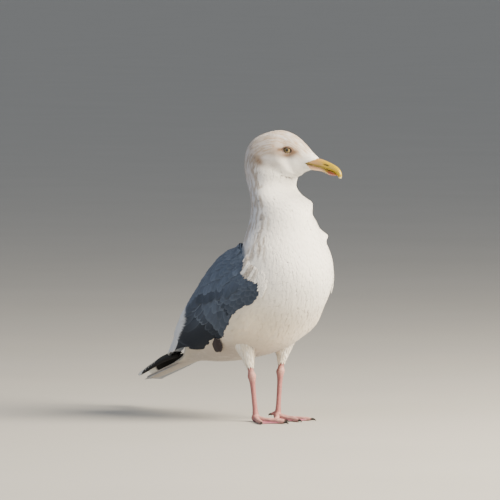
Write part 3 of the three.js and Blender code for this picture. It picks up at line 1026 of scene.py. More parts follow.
def lay(chart: Chart, vane: Vane, tract: Tract, rng: np.random.Generator) -> Laid:
    """Lays a tract's feathers on a chart.

    Each shaft is a path of short equal steps over the surface along its heading. A vane's point is
    carried along the path by its distance from the root and set off across it by its distance from
    the shaft. It stands over the surface by a height that grows from the root's to the tip's, less the
    camber towards the edges, plus the curl at the end.

    Args:
        chart: The surface.
        vane: The outline that the feathers share.
        tract: The feathers.
        rng: The source of the loose barbs' lengths.

    Returns:
        The feathers' points and places.
    """
    shape = vane.lattice()
    steps = max(3, vane.rows)
    reach = tract.length * (1 + vane.barbs)
    u, v, fast_u, fast_v, normals, turns = [tract.u], [tract.v], [], [], [], []
    for k in range(steps + 1):
        speed_u, speed_v, normal = chart.slopes(u[-1], v[-1])
        speed_u, speed_v = np.maximum(speed_u, chart.slowest), np.maximum(speed_v, 0.02)
        turn = np.radians(tract.heading + np.asarray(tract.bend) * k / steps)
        fast_u.append(speed_u)
        fast_v.append(speed_v)
        normals.append(normal)
        turns.append(turn)
        if k < steps:
            u.append(u[-1] + chart.flow * np.cos(turn) * reach / steps / speed_u)
            v.append(v[-1] + np.sin(turn) * reach / steps / speed_v)
    path = [np.stack(x, 1) for x in (u, v, fast_u, fast_v, turns)]
    loose = 1 + vane.barbs * shape.ragged * rng.uniform(0.25, 1.0, (tract.count, len(shape.along)))
    place = shape.along * loose / (1 + vane.barbs) * steps
    i = np.clip(place.astype(int), 0, steps - 1)
    f = place - i

    def carried(values: Array) -> Array:
        """Values at the path's steps, read at each point's place along it."""
        low, high = np.take_along_axis(values, i, 1), np.take_along_axis(values, i + 1, 1)
        return low + (high - low) * f

    mid_u, mid_v, speed_u, speed_v, turn = (carried(x) for x in path)
    normal = np.stack([carried(np.stack(normals, 1)[..., axis]) for axis in range(3)], -1)
    off = shape.across * tract.width[:, None] / 2
    u_all = mid_u - chart.flow * np.sin(turn) * off / speed_u
    v_all = mid_v + np.cos(turn) * off / speed_v
    rise = tract.root[:, None] + (tract.tip - tract.root)[:, None] * shape.along**tract.rise
    rise = rise - tract.camber * tract.width[:, None] / 2 * shape.out**2
    rise = rise + tract.curl * tract.length[:, None] * shape.along**3
    rise = rise + tract.tilt * tract.width[:, None] / 2 * shape.out
    points = chart.point(u_all, v_all) + normal * rise[..., None]
    return Laid(points, u_all, v_all, shape, chart.outward * chart.flow < 0)


def scatter(
    chart: Chart, u_range: tuple[float, float], v_range: tuple[float, float], room: Callable[[Array], Array]
) -> tuple[Array, Array]:
    """Even, patternless places on a chart, one for each feather's share of the surface.

    The surface is cut in cells, each with its area over the room of a feather there. A sequence that
    fills the unit square evenly, its two steps being powers of the plastic ratio, is carried through
    the running sums of those shares along u and then along v.

    Args:
        chart: The surface.
        u_range: The first and last u.
        v_range: The first and last v.
        room: The surface, in square millimetres, that one feather takes at each u.

    Returns:
        u and v for each feather.
    """
    edge_u, edge_v = np.linspace(*u_range, 161), np.linspace(*v_range, 145)
    mid_u, mid_v = np.meshgrid((edge_u[1:] + edge_u[:-1]) / 2, (edge_v[1:] + edge_v[:-1]) / 2, indexing="ij")
    speed_u, speed_v, _ = chart.slopes(mid_u, mid_v)
    share = speed_u * speed_v * (edge_u[1] - edge_u[0]) * abs(edge_v[1] - edge_v[0]) / room(mid_u)
    k = np.arange(int(share.sum()))
    x, y = (0.5 + k * EVEN_STEPS[0]) % 1, (0.5 + k * EVEN_STEPS[1]) % 1
    total = np.concatenate([[0], np.cumsum(share.sum(1))])
    u = np.interp(x, total / total[-1], edge_u)
    row = np.clip(np.searchsorted(edge_u, u) - 1, 0, len(edge_u) - 2)
    sums = np.concatenate([np.zeros((len(share), 1)), np.cumsum(share, 1)], 1)
    sums = (sums / sums[:, -1:])[row]
    cell = np.clip((sums <= y[:, None]).sum(1) - 1, 0, len(edge_v) - 2)
    low = np.take_along_axis(sums, cell[:, None], 1)[:, 0]
    high = np.take_along_axis(sums, cell[:, None] + 1, 1)[:, 0]
    v = edge_v[cell] + (edge_v[1] - edge_v[0]) * (y - low) / (high - low + 1e-12)
    return u, v


def spots(u: Array, v: Array, lattice: Lattice, size: float) -> Array:
    """The baking map: each feather a small patch at its root's place on the form's own unwrap.

    Args:
        u: The roots' first places, from 0 to 1.
        v: The roots' second places, from 0 to 1.
        lattice: The vane that the feathers share.
        size: The patch's width.

    Returns:
        A place for each point of each feather.
    """
    low, high = 0.5 * size, 1 - 0.5 * size
    x = np.clip(v, low, high)[:, None] + (lattice.across * 0.5 * size)[None]
    y = np.clip(u, low, high)[:, None] + ((lattice.along - 0.5) * size)[None]
    return np.stack([x, y], -1)


def strips(count: int, lattice: Lattice) -> Array:
    """The baking map of a few large feathers: each has an upright strip of its own."""
    x = (np.arange(count)[:, None] + 0.5 + 0.46 * lattice.across[None]) / count
    y = np.broadcast_to(0.02 + 0.96 * lattice.along[None], x.shape)
    return np.stack([x, y], -1)


# ---------------------------------------------------------------- markings


@dataclass(frozen=True)
class Markings:
    """The colours of an adult's winter plumage, by place, with painted shade and a painted warm reflection laid in.
    Skin and coat both read them.
    """

    white: str = "#f3f1ec"
    cream: str = "#dccdb2"
    ash: str = "#d5cfc7"
    shadow: str = "#877b78"
    # bluish grey painted shade for the nape, which is turned away from the light
    lilac: str = "#98a4c0"
    streak: str = "#8d7d6c"
    smudge: str = "#6e553f"
    fawn: str = "#a0835c"
    slate: str = "#586579"
    # dark slate that the wing's painted shade mixes towards
    dusk: str = "#1d2430"
    black: str = "#0e0e10"
    # the white tips, greyed and blued by painted shade
    tip: str = "#cbd0d8"

    def over_back(self, at: Array, angle: Array) -> Array:
        """Where the slate back is; its front edge comes furthest forward over the middle of the back.

        Args:
            at: Places along the spine.
            angle: Angles round it.

        Returns:
            1 on the slate back and 0 on the white body.
        """
        side = 90 - np.abs(wrapped(angle - 90))
        places = [-60, -35, -30, -17, -6, -2, 8, 20, 34, 60, 90]
        front = np.interp(side, places, [10.6, 10.9, 11.12, 11.05, 11.02, 11.4, 11.66, 11.7, 11.7, 11.8, 11.9])
        rear = np.interp(side, [-60, 30, 60, 90], [9.0, 7.4, 7.2, 7.0])
        low = smoothstep(-27, -21, side)
        return smoothstep(0.06, -0.06, at - front) * smoothstep(-0.1, 0.1, at - rear) * low

    def streaked(self, at: Array, angle: Array) -> Array:
        """How likely a feather is to be streaked: on the nape, the neck's sides and the crown, not the throat.

        Args:
            at: Places along the spine.
            angle: Angles round it.

        Returns:
            A share from 0 to 1 for each place.
        """
        from_back = np.abs(wrapped(angle - 90))
        width = np.interp(at, [11, 11.6, 13, 15, 17, 19, 21, 22.5], [118, 130, 128, 124, 116, 104, 88, 50])
        along = np.interp(at, [11.2, 11.8, 13, 15, 17, 19.5, 21, 22.4, 23], [0, 0.6, 0.9, 0.95, 0.88, 0.8, 0.8, 0.5, 0])
        patchy = Noise(5).at(angle / 13.0, at * 3.1) * 0.6 + Noise(6).at(angle / 34.0, at * 1.3) * 0.5
        # Streaks are finer on the head than on the neck.
        wide = smoothstep(0.42, 0.6, Noise(7).at(angle / 3.6, at * 2.3))
        fine = smoothstep(0.42, 0.6, Noise(11).at(angle / 2.2, at * 3.4))
        lines = wide + (fine - wide) * smoothstep(16.4, 17.4, at)
        there = smoothstep(width, width - 42, from_back) * along * (1 - self.over_back(at, angle))
        return np.clip(there * np.clip(patchy * 1.7 - 0.2, 0, 1.3) * (0.3 + 1.3 * lines), 0, 1)

    def face(self, point: Array) -> Array:
        """How dark the smudges round the eye and behind it are.

        Args:
            point: Design-frame points on the head.

        Returns:
            A share from 0 to 1 for each point.
        """
        ahead, left, up = np.moveaxis(head_frame(point), -1, 0)
        on_side = smoothstep(9, 14, np.abs(left))

        def bell(a: float, u: float, wide: float, high: float) -> Array:
            """A soft oval about a place ahead and up of the eye."""
            return np.exp(-(((ahead - a) / wide) ** 2) - ((up - u) / high) ** 2)

        dark = 0.85 * bell(11.0, -2.6, 6.5, 4.4) + 0.7 * bell(-7.0, 1.0, 5.0, 2.4)
        dark = dark + 0.7 * bell(-5, -4, 15, 8) + 0.5 * bell(3, -8, 8, 3.5) + 0.45 * bell(-16, -20, 15, 7)
        return np.clip(on_side * dark, 0, 1)

    def ear(self, at: Array, angle: Array) -> Array:
        """How dark the ear coverts' spot is, from 0 to 1."""
        side = np.minimum(np.abs(angle - 178), np.abs(wrapped(angle - 2)))
        return np.exp(-(((at - 17.8) / 0.38) ** 2) - (side / 14.0) ** 2)

    def body(self, at: Array, angle: Array, point: Array) -> Array:
        """The ground colour, without the single streaks, with painted shade under the belly, round the tail's root and
        on the nape, and a painted warm reflection on the belly.

        Args:
            at: Places along the spine.
            angle: Angles round it.
            point: The same places' design-frame points.

        Returns:
            A linear colour for each place.
        """
        low = -np.sin(np.radians(angle))
        tone = np.broadcast_to(linear(self.white), point.shape)
        # Warm cream over the white belly: painted shade and a painted warm reflection from below.
        belly = smoothstep(11.6, 9.6, at) * smoothstep(-0.2, 0.5, low)
        tone = mixed(tone, linear(self.cream), belly * 0.8)
        # Painted shade under the belly and round the root of the tail.
        under = smoothstep(9.6, 8.2, at) * smoothstep(0.1, 0.9, low) + 0.6 * smoothstep(4.8, 3.8, at)
        tone = mixed(tone, linear(self.shadow), 0.7 * np.clip(under, 0, 1))
        flecks = Noise(9).at(angle / 4.0, at * 9.0)
        tone = mixed(tone, linear(self.ash), smoothstep(0.6, 0.95, flecks) * (0.12 + 0.3 * belly))
        # Painted shade: the nape, turned away from the light, is greyed and blued.
        nape = smoothstep(-0.5, 0.4, -low) * np.interp(at, [11.2, 12, 16, 20.5, 22.5], [0, 0.6, 0.62, 0.5, 0])
        tone = mixed(tone, linear(self.lilac), nape)
        wash = smoothstep(-0.35, 0.25, -low) * np.interp(at, [15.5, 17.5, 19, 21.5, 22.6], [0, 0.38, 0.56, 0.52, 0])
        tone = mixed(tone, linear(self.fawn), wash * (0.4 + 0.9 * Noise(8).at(angle / 9.0, at * 2.4)))
        tone = mixed(tone, linear(self.smudge), self.face(point))
        tone = mixed(tone, linear(self.smudge), self.ear(at, angle))
        return mixed(tone, linear(self.slate), self.over_back(at, angle))

    def skin(self, at: Array, angle: Array, point: Array) -> Array:
        """The ground colour with the streaks' average tone."""
        share = self.streaked(at, angle) * 0.45
        return mixed(self.body(at, angle, point), linear(self.streak), share)

    def coat(self, at: Array, angle: Array, point: Array, lattice: Lattice, rng: np.random.Generator) -> Array:
        """The colours of a laid tract of body feathers.

        Where the plumage is streaked, a feather is darkest along its shaft, towards the tip.

        Args:
            at: Places along the spine, for each point of each feather.
            angle: Angles round it.
            point: The design-frame points.
            lattice: The vane that the feathers share.
            rng: The source of which feathers are streaked, and of their small differences.

        Returns:
            A linear colour for each point of each feather.
        """
        tone = self.body(at, angle, point)
        chance = self.streaked(at, angle)
        dark = smoothstep(0.2, 0.62, chance) * rng.uniform(0.65, 1.0, (len(at), 1))
        stripe = 0.55 + 0.45 * smoothstep(1.0, 0.3, np.abs(lattice.out)) * smoothstep(0.15, 0.5, lattice.share)
        streak = mixed(linear(self.streak), linear(self.fawn), smoothstep(17.5, 19.5, at))
        tone = mixed(tone, streak, (0.85 - 0.15 * smoothstep(17, 19, at)) * dark * stripe[None])
        return tone * rng.uniform(0.96, 1.03, (len(at), 1))[..., None]


MARKINGS = Markings()


# ---------------------------------------------------------------- body


@dataclass(frozen=True)
class CoatZone:
    """One stretch of the body's coat, from one place along the spine to another."""

    name: str
    start: float
    end: float
    vane: Vane


@dataclass
class Body:
    """Skin and contour feathers of the rump, trunk, neck and head.

    The plumage's depth and the feathers' length and width are read from tables by place along the
    spine: small and close on the face, long and loose on the belly.
    """

    places: tuple[float, ...] = (1.2, 4.3, 5.5, 7, 9, 11, 12.3, 14, 16, 18, 20, 22, 24)
    depth: tuple[float, ...] = (0.7, 1.2, 3.0, 4.5, 5.0, 5.0, 4.5, 3.8, 3.0, 2.2, 1.6, 1.2, 0.8)
    length: tuple[float, ...] = (20, 22, 21, 20, 19, 17, 14, 11, 8, 5.4, 3.8, 2.8, 2.2)
    width: tuple[float, ...] = (9.5, 9.5, 9.2, 9.0, 8.5, 8.0, 6.6, 4.9, 3.3, 2.1, 1.4, 1.0, 0.8)
    crowding: float = 0.15  # a feather's room as a share of its length times its width
    bill_depth: float = 3.6  # how much deeper the skin lies under the bare base of the bill
    zones: tuple[CoatZone, ...] = (
        CoatZone("coat_rump", 1.3, 7.6, Vane(rows=4, columns=4)),
        CoatZone("coat_belly", 7.6, 10.3, Vane(rows=3, columns=4, roundness=0.45, barbs=0.07)),
        CoatZone("coat_breast", 10.3, 13.0, Vane(rows=3, columns=4, roundness=0.45, barbs=0.07)),
        CoatZone("coat_neck", 13.0, 16.3, Vane(rows=3, columns=3, roundness=0.45, barbs=0.09)),
        CoatZone("coat_head", 16.3, 19.6, Vane(rows=2, columns=3, roundness=0.45)),
        CoatZone("coat_face", 19.6, 24.0, Vane(rows=2, columns=3, roundness=0.45)),
    )
    chart: BodyChart = field(
        default_factory=lambda: BodyChart(
            Loft(SPINE),
            (
                Ruffle(14.28, 316, 3.5, 0.22, 22),
                Ruffle(13.66, 318, -4.0, 0.26, 26),
                Ruffle(12.8, 332, 8.0, 0.15, 9),
                Ruffle(9.5, 217, 7.5, 0.75, 13),
                Ruffle(9.5, 323, 7.5, 0.75, 13),
            ),
        )
    )

    def table(self, values: Sequence[float], at: Array) -> Array:
        """One of the tables, read at places along the spine."""
        return np.interp(at, self.places, values)

    def sunk(self, at: Array, angle: Array, depth: Array) -> Array:
        """Points at a depth under the outer form, deeper still under the bare base of the bill."""
        outer = self.chart.point(at, angle)
        _, _, normal = self.chart.slopes(at, angle)
        depth = depth + self.bill_depth * self.chart.bill_seat(outer)
        return outer - normal * depth[..., None]

    def skin(self) -> Patch:
        """The skin from the root of the tail to the bill: the outer form, sunk by the plumage's depth."""
        at = np.concatenate([np.linspace(4.4, 16, 130), np.linspace(16, 23.97, 130)[1:]])
        at, angle = np.meshgrid(at, np.arange(0, 360, 360 / 112), indexing="ij")
        points = self.sunk(at, angle, self.table(self.depth, at))
        return Patch.tube(points, MARKINGS.skin(at, angle, points))

    def hidden(self, at: Array, angle: Array) -> Array:
        """True well under a folded wing, where feathers would never be seen."""
        side = 90 - np.abs(wrapped(angle - 90))
        upper = np.interp(at, [5.2, 5.8, 6.4, 9, 10, 11, 11.4], [60, 84, 95, 95, 74, 48, 35])
        lower = np.interp(at, [5.2, 6, 7, 8, 9, 9.7, 10.3, 11, 11.4], [44, 14, -20, -36, -29, -27, -29, -24, -10])
        return (side > lower) & (side < upper) & (at > 5.2) & (at < 11.3)

    def tract(self, zone: CoatZone, rng: np.random.Generator) -> Tract:
        """The zone's feathers: evenly scattered, a little uneven in length and heading, and none where
        the wing hides them, on the eye or on the bare base of the bill.

        Args:
            zone: The stretch of the coat.
            rng: The source of the unevenness.

        Returns:
            The tract.
        """

        def room(at: Array) -> Array:
            """The surface that one feather takes."""
            return self.crowding * self.table(self.length, at) * self.table(self.width, at)

        at, angle = scatter(self.chart, (zone.start, zone.end), (0.0, 360.0), room)
        count = len(at)
        depth = self.table(self.depth, at)
        length = self.table(self.length, at) * rng.uniform(0.75, 1.25, count)
        loose = rng.random(count) ** 3
        lift = 0.06 + 0.01 * depth + loose * 0.04 * depth
        tract = Tract(
            u=at,
            v=angle,
            length=length,
            width=self.table(self.width, at) * rng.uniform(0.8, 1.2, count),
            heading=rng.normal(0, 7, count),
            root=-0.8 * depth,
            tip=lift,
            camber=0.02,
            rise=0.1,
        )
        point = self.chart.loft.point(at, angle)
        bare = (self.chart.eye_distance(point) < 1.12) | (self.chart.bill_seat(point) > 0.35)
        over_tail = (at < 4.3) & (np.sin(np.radians(angle)) > -0.15)
        return tract.kept(~(self.hidden(at, angle) | bare | over_tail))

    def coat(self, zone: CoatZone, rng: np.random.Generator) -> Patch:
        """One stretch of the coat as a patch."""
        tract = self.tract(zone, rng)
        laid = lay(self.chart, zone.vane, tract, rng)
        tone = MARKINGS.coat(laid.u, laid.v, laid.points, laid.lattice, rng)
        return laid.patch(tone, spots(tract.u / 24, tract.v / 360, laid.lattice, 0.003))

    def build(self, plumage: bpy.types.Material) -> None:
        """Makes the coat's pieces.

        Args:
            plumage: The finish of body feathers.
        """
        for i, zone in enumerate(self.zones):
            rng = np.random.default_rng(SEED + i)
            slot = "rump_plumage" if zone.name == "coat_rump" else "body_plumage"
            self.coat(zone, rng).piece(zone.name, plumage, slot)


# ---------------------------------------------------------------- wings and tail


@dataclass(frozen=True)
class FeatherRow:
    """A row of large feathers, each pair running evenly from the first feather's value to the last's.

    u and v are the roots' places. white is the length of the white tip, shade how dark the rest is
    from 0 to 1, and wander how uneven lengths, headings and places are.
    """

    count: int
    u: tuple[float, float]
    v: tuple[float, float]
    length: tuple[float, float]
    width: tuple[float, float]
    root: tuple[float, float] = (-3.0, -3.0)
    tip: tuple[float, float] = (0.0, 0.0)
    heading: tuple[float, float] = (0.0, 0.0)
    bend: tuple[float, float] = (0.0, 0.0)
    white: tuple[float, float] = (0.0, 0.0)
    shade: tuple[float, float] = (0.2, 0.2)
    tilt: float = -0.06
    camber: float = 0.08
    wander: float = 0.02

    def run(self, pair: tuple[float, float]) -> Array:
        """A pair's values for each feather."""
        return np.linspace(*pair, self.count)

    def tract(self, rng: np.random.Generator) -> "Tract":
        """The row's feathers.

        Args:
            rng: The source of the unevenness.

        Returns:
            The tract.
        """
        loose = rng.normal(0, self.wander, (2, self.count))
        return Tract(
            u=self.run(self.u),
            v=self.run(self.v),
            length=self.run(self.length) * (1 + loose[0]),
            width=self.run(self.width),
            heading=self.run(self.heading) + loose[1] * 60,
            root=self.run(self.root),
            tip=self.run(self.tip),
            camber=self.camber,
            bend=self.run(self.bend),
            tilt=self.tilt,
        )


@dataclass(frozen=True)
class VaneColours:
    """How a large feather is coloured: even along it, a fine pale fringe, a dark shaft and a white tip."""

    body: str
    dark: str
    tip: str = "#f1efe9"
    fringe: str = "#8691a0"
    fringe_share: float = 0.12
    fringe_mm: float = 0.6
    shaft: str = "#3a3d44"
    shaft_share: float = 0.2

    def tone(self, laid: "Laid", tract: "Tract", white: Array, shade: Array, rng: np.random.Generator) -> Array:
        """A colour for each point of each feather.

        Args:
            laid: The laid feathers.
            tract: Their sizes.
            white: The length of each one's white tip.
            shade: How dark each one is.
            rng: The source of small differences.

        Returns:
            Linear colours.
        """
        shape = laid.lattice
        to_tip = (1 - shape.along[None]) * tract.length[:, None]
        ends = (1 - shape.share[None]) * tract.length[:, None]
        edge = (1 - np.abs(shape.out))[None] * tract.width[:, None] / 2
        tone = mixed(linear(self.body), linear(self.dark), np.broadcast_to(shade[:, None], to_tip.shape))
        near = np.minimum(edge, ends)
        fringe = smoothstep(self.fringe_mm * 1.6, self.fringe_mm * 0.4, near) * self.fringe_share
        tone = mixed(tone, linear(self.fringe), fringe)
        shaft = smoothstep(0.09, 0.02, np.abs(shape.out))[None] + 0 * to_tip
        tone = mixed(tone, linear(self.shaft), shaft * self.shaft_share)
        ragged = 0.6 * np.sin(shape.out * 17)[None]
        tipped = smoothstep(1.2, -1.2, to_tip - white[:, None] + ragged) * (white[:, None] > 0)
        tone = mixed(tone, linear(self.tip), tipped)
        return tone * rng.uniform(0.93, 1.05, (len(white), 1))[..., None]


SLATE_VANE = VaneColours(MARKINGS.slate, MARKINGS.dusk)
FLIGHT_VANE = VaneColours(
    MARKINGS.slate, MARKINGS.dusk, fringe="#8d9aad", fringe_share=0.5, fringe_mm=0.9, shaft_share=0.4
)
BLACK_VANE = VaneColours("#060607", "#060607", fringe="#7d7a78", fringe_share=0.1, fringe_mm=0.4, shaft="#0c0c0d")
BROWN_VANE = VaneColours("#3a3438", "#2a272b", fringe="#4e484c", shaft="#221f20")
# White feathers, greyed and blued by painted shade.
SHADED_WHITE_VANE = VaneColours("#b9bec8", "#8b8f96", fringe="#e9e6df", shaft="#cfc8bd", shaft_share=0.4)


def laid_rows(
    chart: Chart,
    vane: Vane,
    rows: Sequence[FeatherRow],
    colours: VaneColours,
    rng: np.random.Generator,
    wing: "Wing | None" = None,
) -> list[Patch]:
    """Lays rows of large feathers on a chart.

    Args:
        chart: The surface.
        vane: The outline that they share.
        rows: The rows.
        colours: How they are coloured.
        rng: The source of the unevenness.
        wing: The wing whose white tips are laid over the colours, if any.

    Returns:
        One patch for each row.
    """
    patches = []
    for row in rows:
        tract = row.tract(rng)
        laid = lay(chart, vane, tract, rng)
        tone = colours.tone(laid, tract, row.run(row.white), row.run(row.shade), rng)
        if wing is not None:
            tone = wing.tipped(tone, laid.u, wing.chart.angle(laid.u, laid.v))
        patches.append(laid.patch(tone, strips(row.count, laid.lattice)))
    return patches


def stacked(patches: Sequence[Patch]) -> Patch:
    """Patches joined, each one's baking map squeezed into a band of its own."""
    for i, patch in enumerate(patches):
        patch.bake = patch.bake * np.array([1.0, 1 / len(patches)]) + np.array([0.0, i / len(patches)])
    return Patch.joined(patches)


@dataclass
class Wing:
    """One folded wing: a slate shell, flight feathers and coverts on it, and scapulars over its top."""

    side: Side
    small: Vane = Vane(rows=4, columns=4, root=0.6, widest=0.6, taper=0.2, roundness=0.3, barbs=0.06)
    large: Vane = Vane(rows=16, columns=8, root=0.75, widest=0.4, taper=0.3, roundness=0.16, barbs=0.012)
    broad: Vane = Vane(rows=8, columns=8, root=0.6, widest=0.6, taper=0.22, roundness=0.34, barbs=0.03)
    shell_depth: float = 3.4

    def __post_init__(self) -> None:
        """Makes the charts that the feathers lie on."""
        self.chart = WingChart(side=self.side)
        self.shoulder = ShoulderChart(side=self.side)

    def shell(self) -> Patch:
        """The wing's face, sunk under the feathers, with the thickness of the folded wing under it."""
        u, v = np.meshgrid(np.linspace(0.85, 7.62, 90), np.linspace(0.012, 0.988, 60), indexing="ij")
        _, _, thick = self.chart.edges(u)
        outer = self.chart.point(u, v)
        _, _, normal = self.chart.slopes(u, v)
        edge = np.sqrt(np.clip(1 - np.abs(2 * v - 1) ** 6, 0, 1))
        top = outer - normal * (self.shell_depth + 1.5 * (1 - edge))[..., None]
        under = outer - normal * np.maximum(thick * 0.9, self.shell_depth + 1.8)[..., None]
        # Painted shade: the sunk shell is darker than the feathers over it, and darker still towards the rear.
        tone = mixed(linear(MARKINGS.slate), linear(MARKINGS.dusk), 0.35 + 0.5 * smoothstep(4.2, 3.0, u))
        patch = Patch.plate(top, under, self.tipped(tone, u, self.chart.angle(u, v)))
        return patch if self.side is Side.RIGHT else patch.flipped()

    def front(self, angle: Array) -> Array:
        """The cloak's place where the slate ends at the front, by the angle up from straight out."""
        places = [-38, -30, -17, -6, -2, 8, 20, 60, 90]
        return np.interp(angle, places, [6.8, 7.2, 7.1, 7.05, 7.4, 7.65, 7.6, 7.15, 7.0])

    def tipped(self, tone: Array, u: Array, angle: Array) -> Array:
        """A tone with the wing's painted shade and white tips laid over it, by place.

        The wing is darker along its lower edge and behind, which is painted shade, and its tertials' and last
        scapulars' tips are white, greyed and blued by painted shade, with a slate band between the two over the rump.

        Args:
            tone: The colours so far.
            u: The cloak's places.
            angle: Angles up from straight out to the side.

        Returns:
            A linear colour for each place.
        """
        # Painted shade: darker towards the wing's lower edge and towards the rear.
        low = smoothstep(-5, -27, angle)
        rear = smoothstep(4.5, 3.3, u) * smoothstep(28, 0, angle)
        tone = mixed(tone, linear(MARKINGS.dusk), 0.82 * np.maximum(low, 0.85 * rear))
        edge = np.interp(angle, [-40, -10, -5, 0, 5, 15, 60, 90], [1.15, 1.5, 2.4, 3.2, 3.55, 3.75, 3.6, 3.4])
        band = smoothstep(42, 56, angle) * smoothstep(1.9, 2.1, u) * smoothstep(3.15, 2.95, u)
        # The white tips take a bluish grey: white with painted shade.
        return mixed(tone, linear(MARKINGS.tip), smoothstep(0.1, -0.1, u - edge) * (1 - band))

    def coverts(self, rng: np.random.Generator) -> Patch:
        """Lesser coverts at the front, in overlapping scales, growing towards the median coverts.

        Args:
            rng: The source of their small differences.

        Returns:
            The coverts, as one patch.
        """

        def length(at: Array) -> Array:
            """A covert's length: short at the bend of the wing."""
            return np.interp(at, [5.2, 6.2, 7.2, 7.7], [30, 22, 14, 10])

        u, v = scatter(self.chart, (5.1, 7.6), (0.01, 0.97), lambda at: 0.17 * length(at) ** 2)
        behind = u < self.front(self.chart.angle(u, v)) + 0.12
        u, v = u[behind], v[behind]
        count = len(u)
        size = length(u) * rng.uniform(0.85, 1.15, count)
        tract = Tract(
            u=u,
            v=v,
            length=size,
            width=size * 0.66,
            heading=rng.normal(-4, 4, count),
            root=np.full(count, -2.2),
            tip=-0.9 + rng.uniform(0, 0.15, count),
            camber=0.07,
            rise=0.5,
        )
        laid = lay(self.chart, self.small, tract, rng)
        # Each covert's shade differs at random, and is deeper towards the wing's lower edge as painted shade.
        shade = np.clip(rng.normal(0.2, 0.06, count) + 0.4 * smoothstep(0.3, 0.0, v), 0, 1)
        tone = SLATE_VANE.tone(laid, tract, np.zeros(count), shade, rng)
        return laid.patch(tone, spots((u - 5) / 2.8, v, laid.lattice, 0.012))

    def rows(self) -> tuple[FeatherRow, ...]:
        """The rows of flight feathers and greater coverts, lowest first."""
        return (
            # shade: painted shade, deepest on the lowest row and on the lower feathers of each row
            FeatherRow(16, (4.7, 4.6), (0.02, 0.5), (112, 126), (15, 18), (-2.6, -2.6), (-2.0, -1.2), shade=(1.0, 0.7)),
            FeatherRow(16, (5.9, 5.6), (0.02, 0.62), (84, 74), (15, 17), (-2.6, -2.4), (-1.2, -0.8), shade=(0.75, 0.3)),
            FeatherRow(
                16, (6.35, 6.2), (0.02, 0.62), (46, 40), (14, 16), (-2.6, -2.4), (-0.9, -0.6), shade=(0.55, 0.15)
            ),
        )

    def hanging(self) -> tuple[FeatherRow, ...]:
        """Brownish feathers that hang below the folded wing's lower edge, laid on the body."""
        sign = -self.side.value
        low = 212 if self.side is Side.RIGHT else 328
        return (
            FeatherRow(
                3, (8.47, 8.35), (low, low + 3 * sign), (33, 31), (13, 13), (4.2, 4.2), (5.0, 4.4),
                heading=(35 * sign, 27 * sign),
            ),
        )

    def tertials(self) -> tuple[FeatherRow, ...]:
        """The tertials: broad and white-tipped, over the roots of the primaries."""
        return (
            # The lower tertials are darker: painted shade.
            FeatherRow(
                8, (4.4, 4.9), (0.3, 0.92), (96, 136), (17, 22), (-2.2, -1.6), (-0.9, 0.2),
                white=(4, 20), shade=(0.6, 0.25),
            ),
        )

    def margin(self, at: Array) -> Array:
        """The angle where the scapulars end over the wing, by the cloak's place."""
        places = [3.0, 4.36, 4.78, 5.06, 5.36, 5.94, 6.34, 6.96, 7.5, 7.9]
        return np.interp(at, places, [14, 11, 8, 0, -3, -13, -14, -9, -4, 6])

    def scapulars(self, rng: np.random.Generator) -> Patch:
        """Scapulars: broad round feathers from the middle of the back down to a lobed margin.

        Args:
            rng: The source of the unevenness.

        Returns:
            The patch.
        """
        ends_u, ends_v, lobes = [], [], []
        for row, offset in enumerate((82, 70, 58, 46, 34, 22, 11, 0)):
            at = np.arange(3.15 + 0.11 * (row % 2), 7.45, 0.24 if offset else 0.33)
            at = at[at < self.front(self.margin(at) + offset) - np.interp(at, [6, 7.7], [0.9, 0.45])]
            ends_u.append(at)
            ends_v.append(np.minimum(self.margin(at) + offset, 86 - 0.5 * row))
            lobes.append(np.full(len(at), 1.0 if offset == 0 else 0.0))
        end_u, end_v, lobe = (np.concatenate(x) for x in (ends_u, ends_v, lobes))
        order = np.argsort(-end_u, kind="stable")
        end_u, end_v, lobe = end_u[order], end_v[order], lobe[order]
        count = len(end_u)
        size = np.interp(end_u, [3, 4.5, 6, 7.7], [46, 40, 31, 18]) * rng.uniform(0.93, 1.07, count)
        heading = np.interp(end_v, [-15, 30, 85], [-24, -14, -3]) + rng.normal(0, 3, count)
        speed_u, speed_v, _ = self.shoulder.slopes(end_u, end_v)
        turn = np.radians(heading)
        tract = Tract(
            u=np.minimum(end_u + size * np.cos(turn) / speed_u, 7.75),
            v=end_v - size * np.sin(turn) / speed_v,
            length=size,
            width=size * 0.66,
            heading=heading,
            root=-2.2 - 2.5 * smoothstep(6.4, 7.2, end_u),
            tip=0.2 + 0.8 * lobe + rng.uniform(0, 0.2, count),
            camber=0.09,
        )
        laid = lay(self.shoulder, self.broad, tract, rng)
        # The lobes at the margin are darker towards the rear: painted shade.
        shade = np.clip(rng.normal(0.12, 0.06, count) + 0.3 * lobe * smoothstep(6.4, 5.4, end_u), 0, 1)
        tone = SLATE_VANE.tone(laid, tract, np.zeros(count), shade, rng)
        # Painted shade: the lobes at the margin darken towards their ends.
        lobe_shade = 0.8 * lobe * np.exp(-(((end_u - 5.0) / 0.85) ** 2)) * rng.uniform(0.35, 1, count)
        lobe_shade = lobe_shade[:, None] * smoothstep(0.2, 0.9, laid.lattice.along)[None]
        tone = self.tipped(mixed(tone, linear(MARKINGS.dusk), lobe_shade), laid.u, laid.v)
        return laid.patch(tone, spots((end_u - 3) / 5, (end_v + 20) / 110, laid.lattice, 0.02))

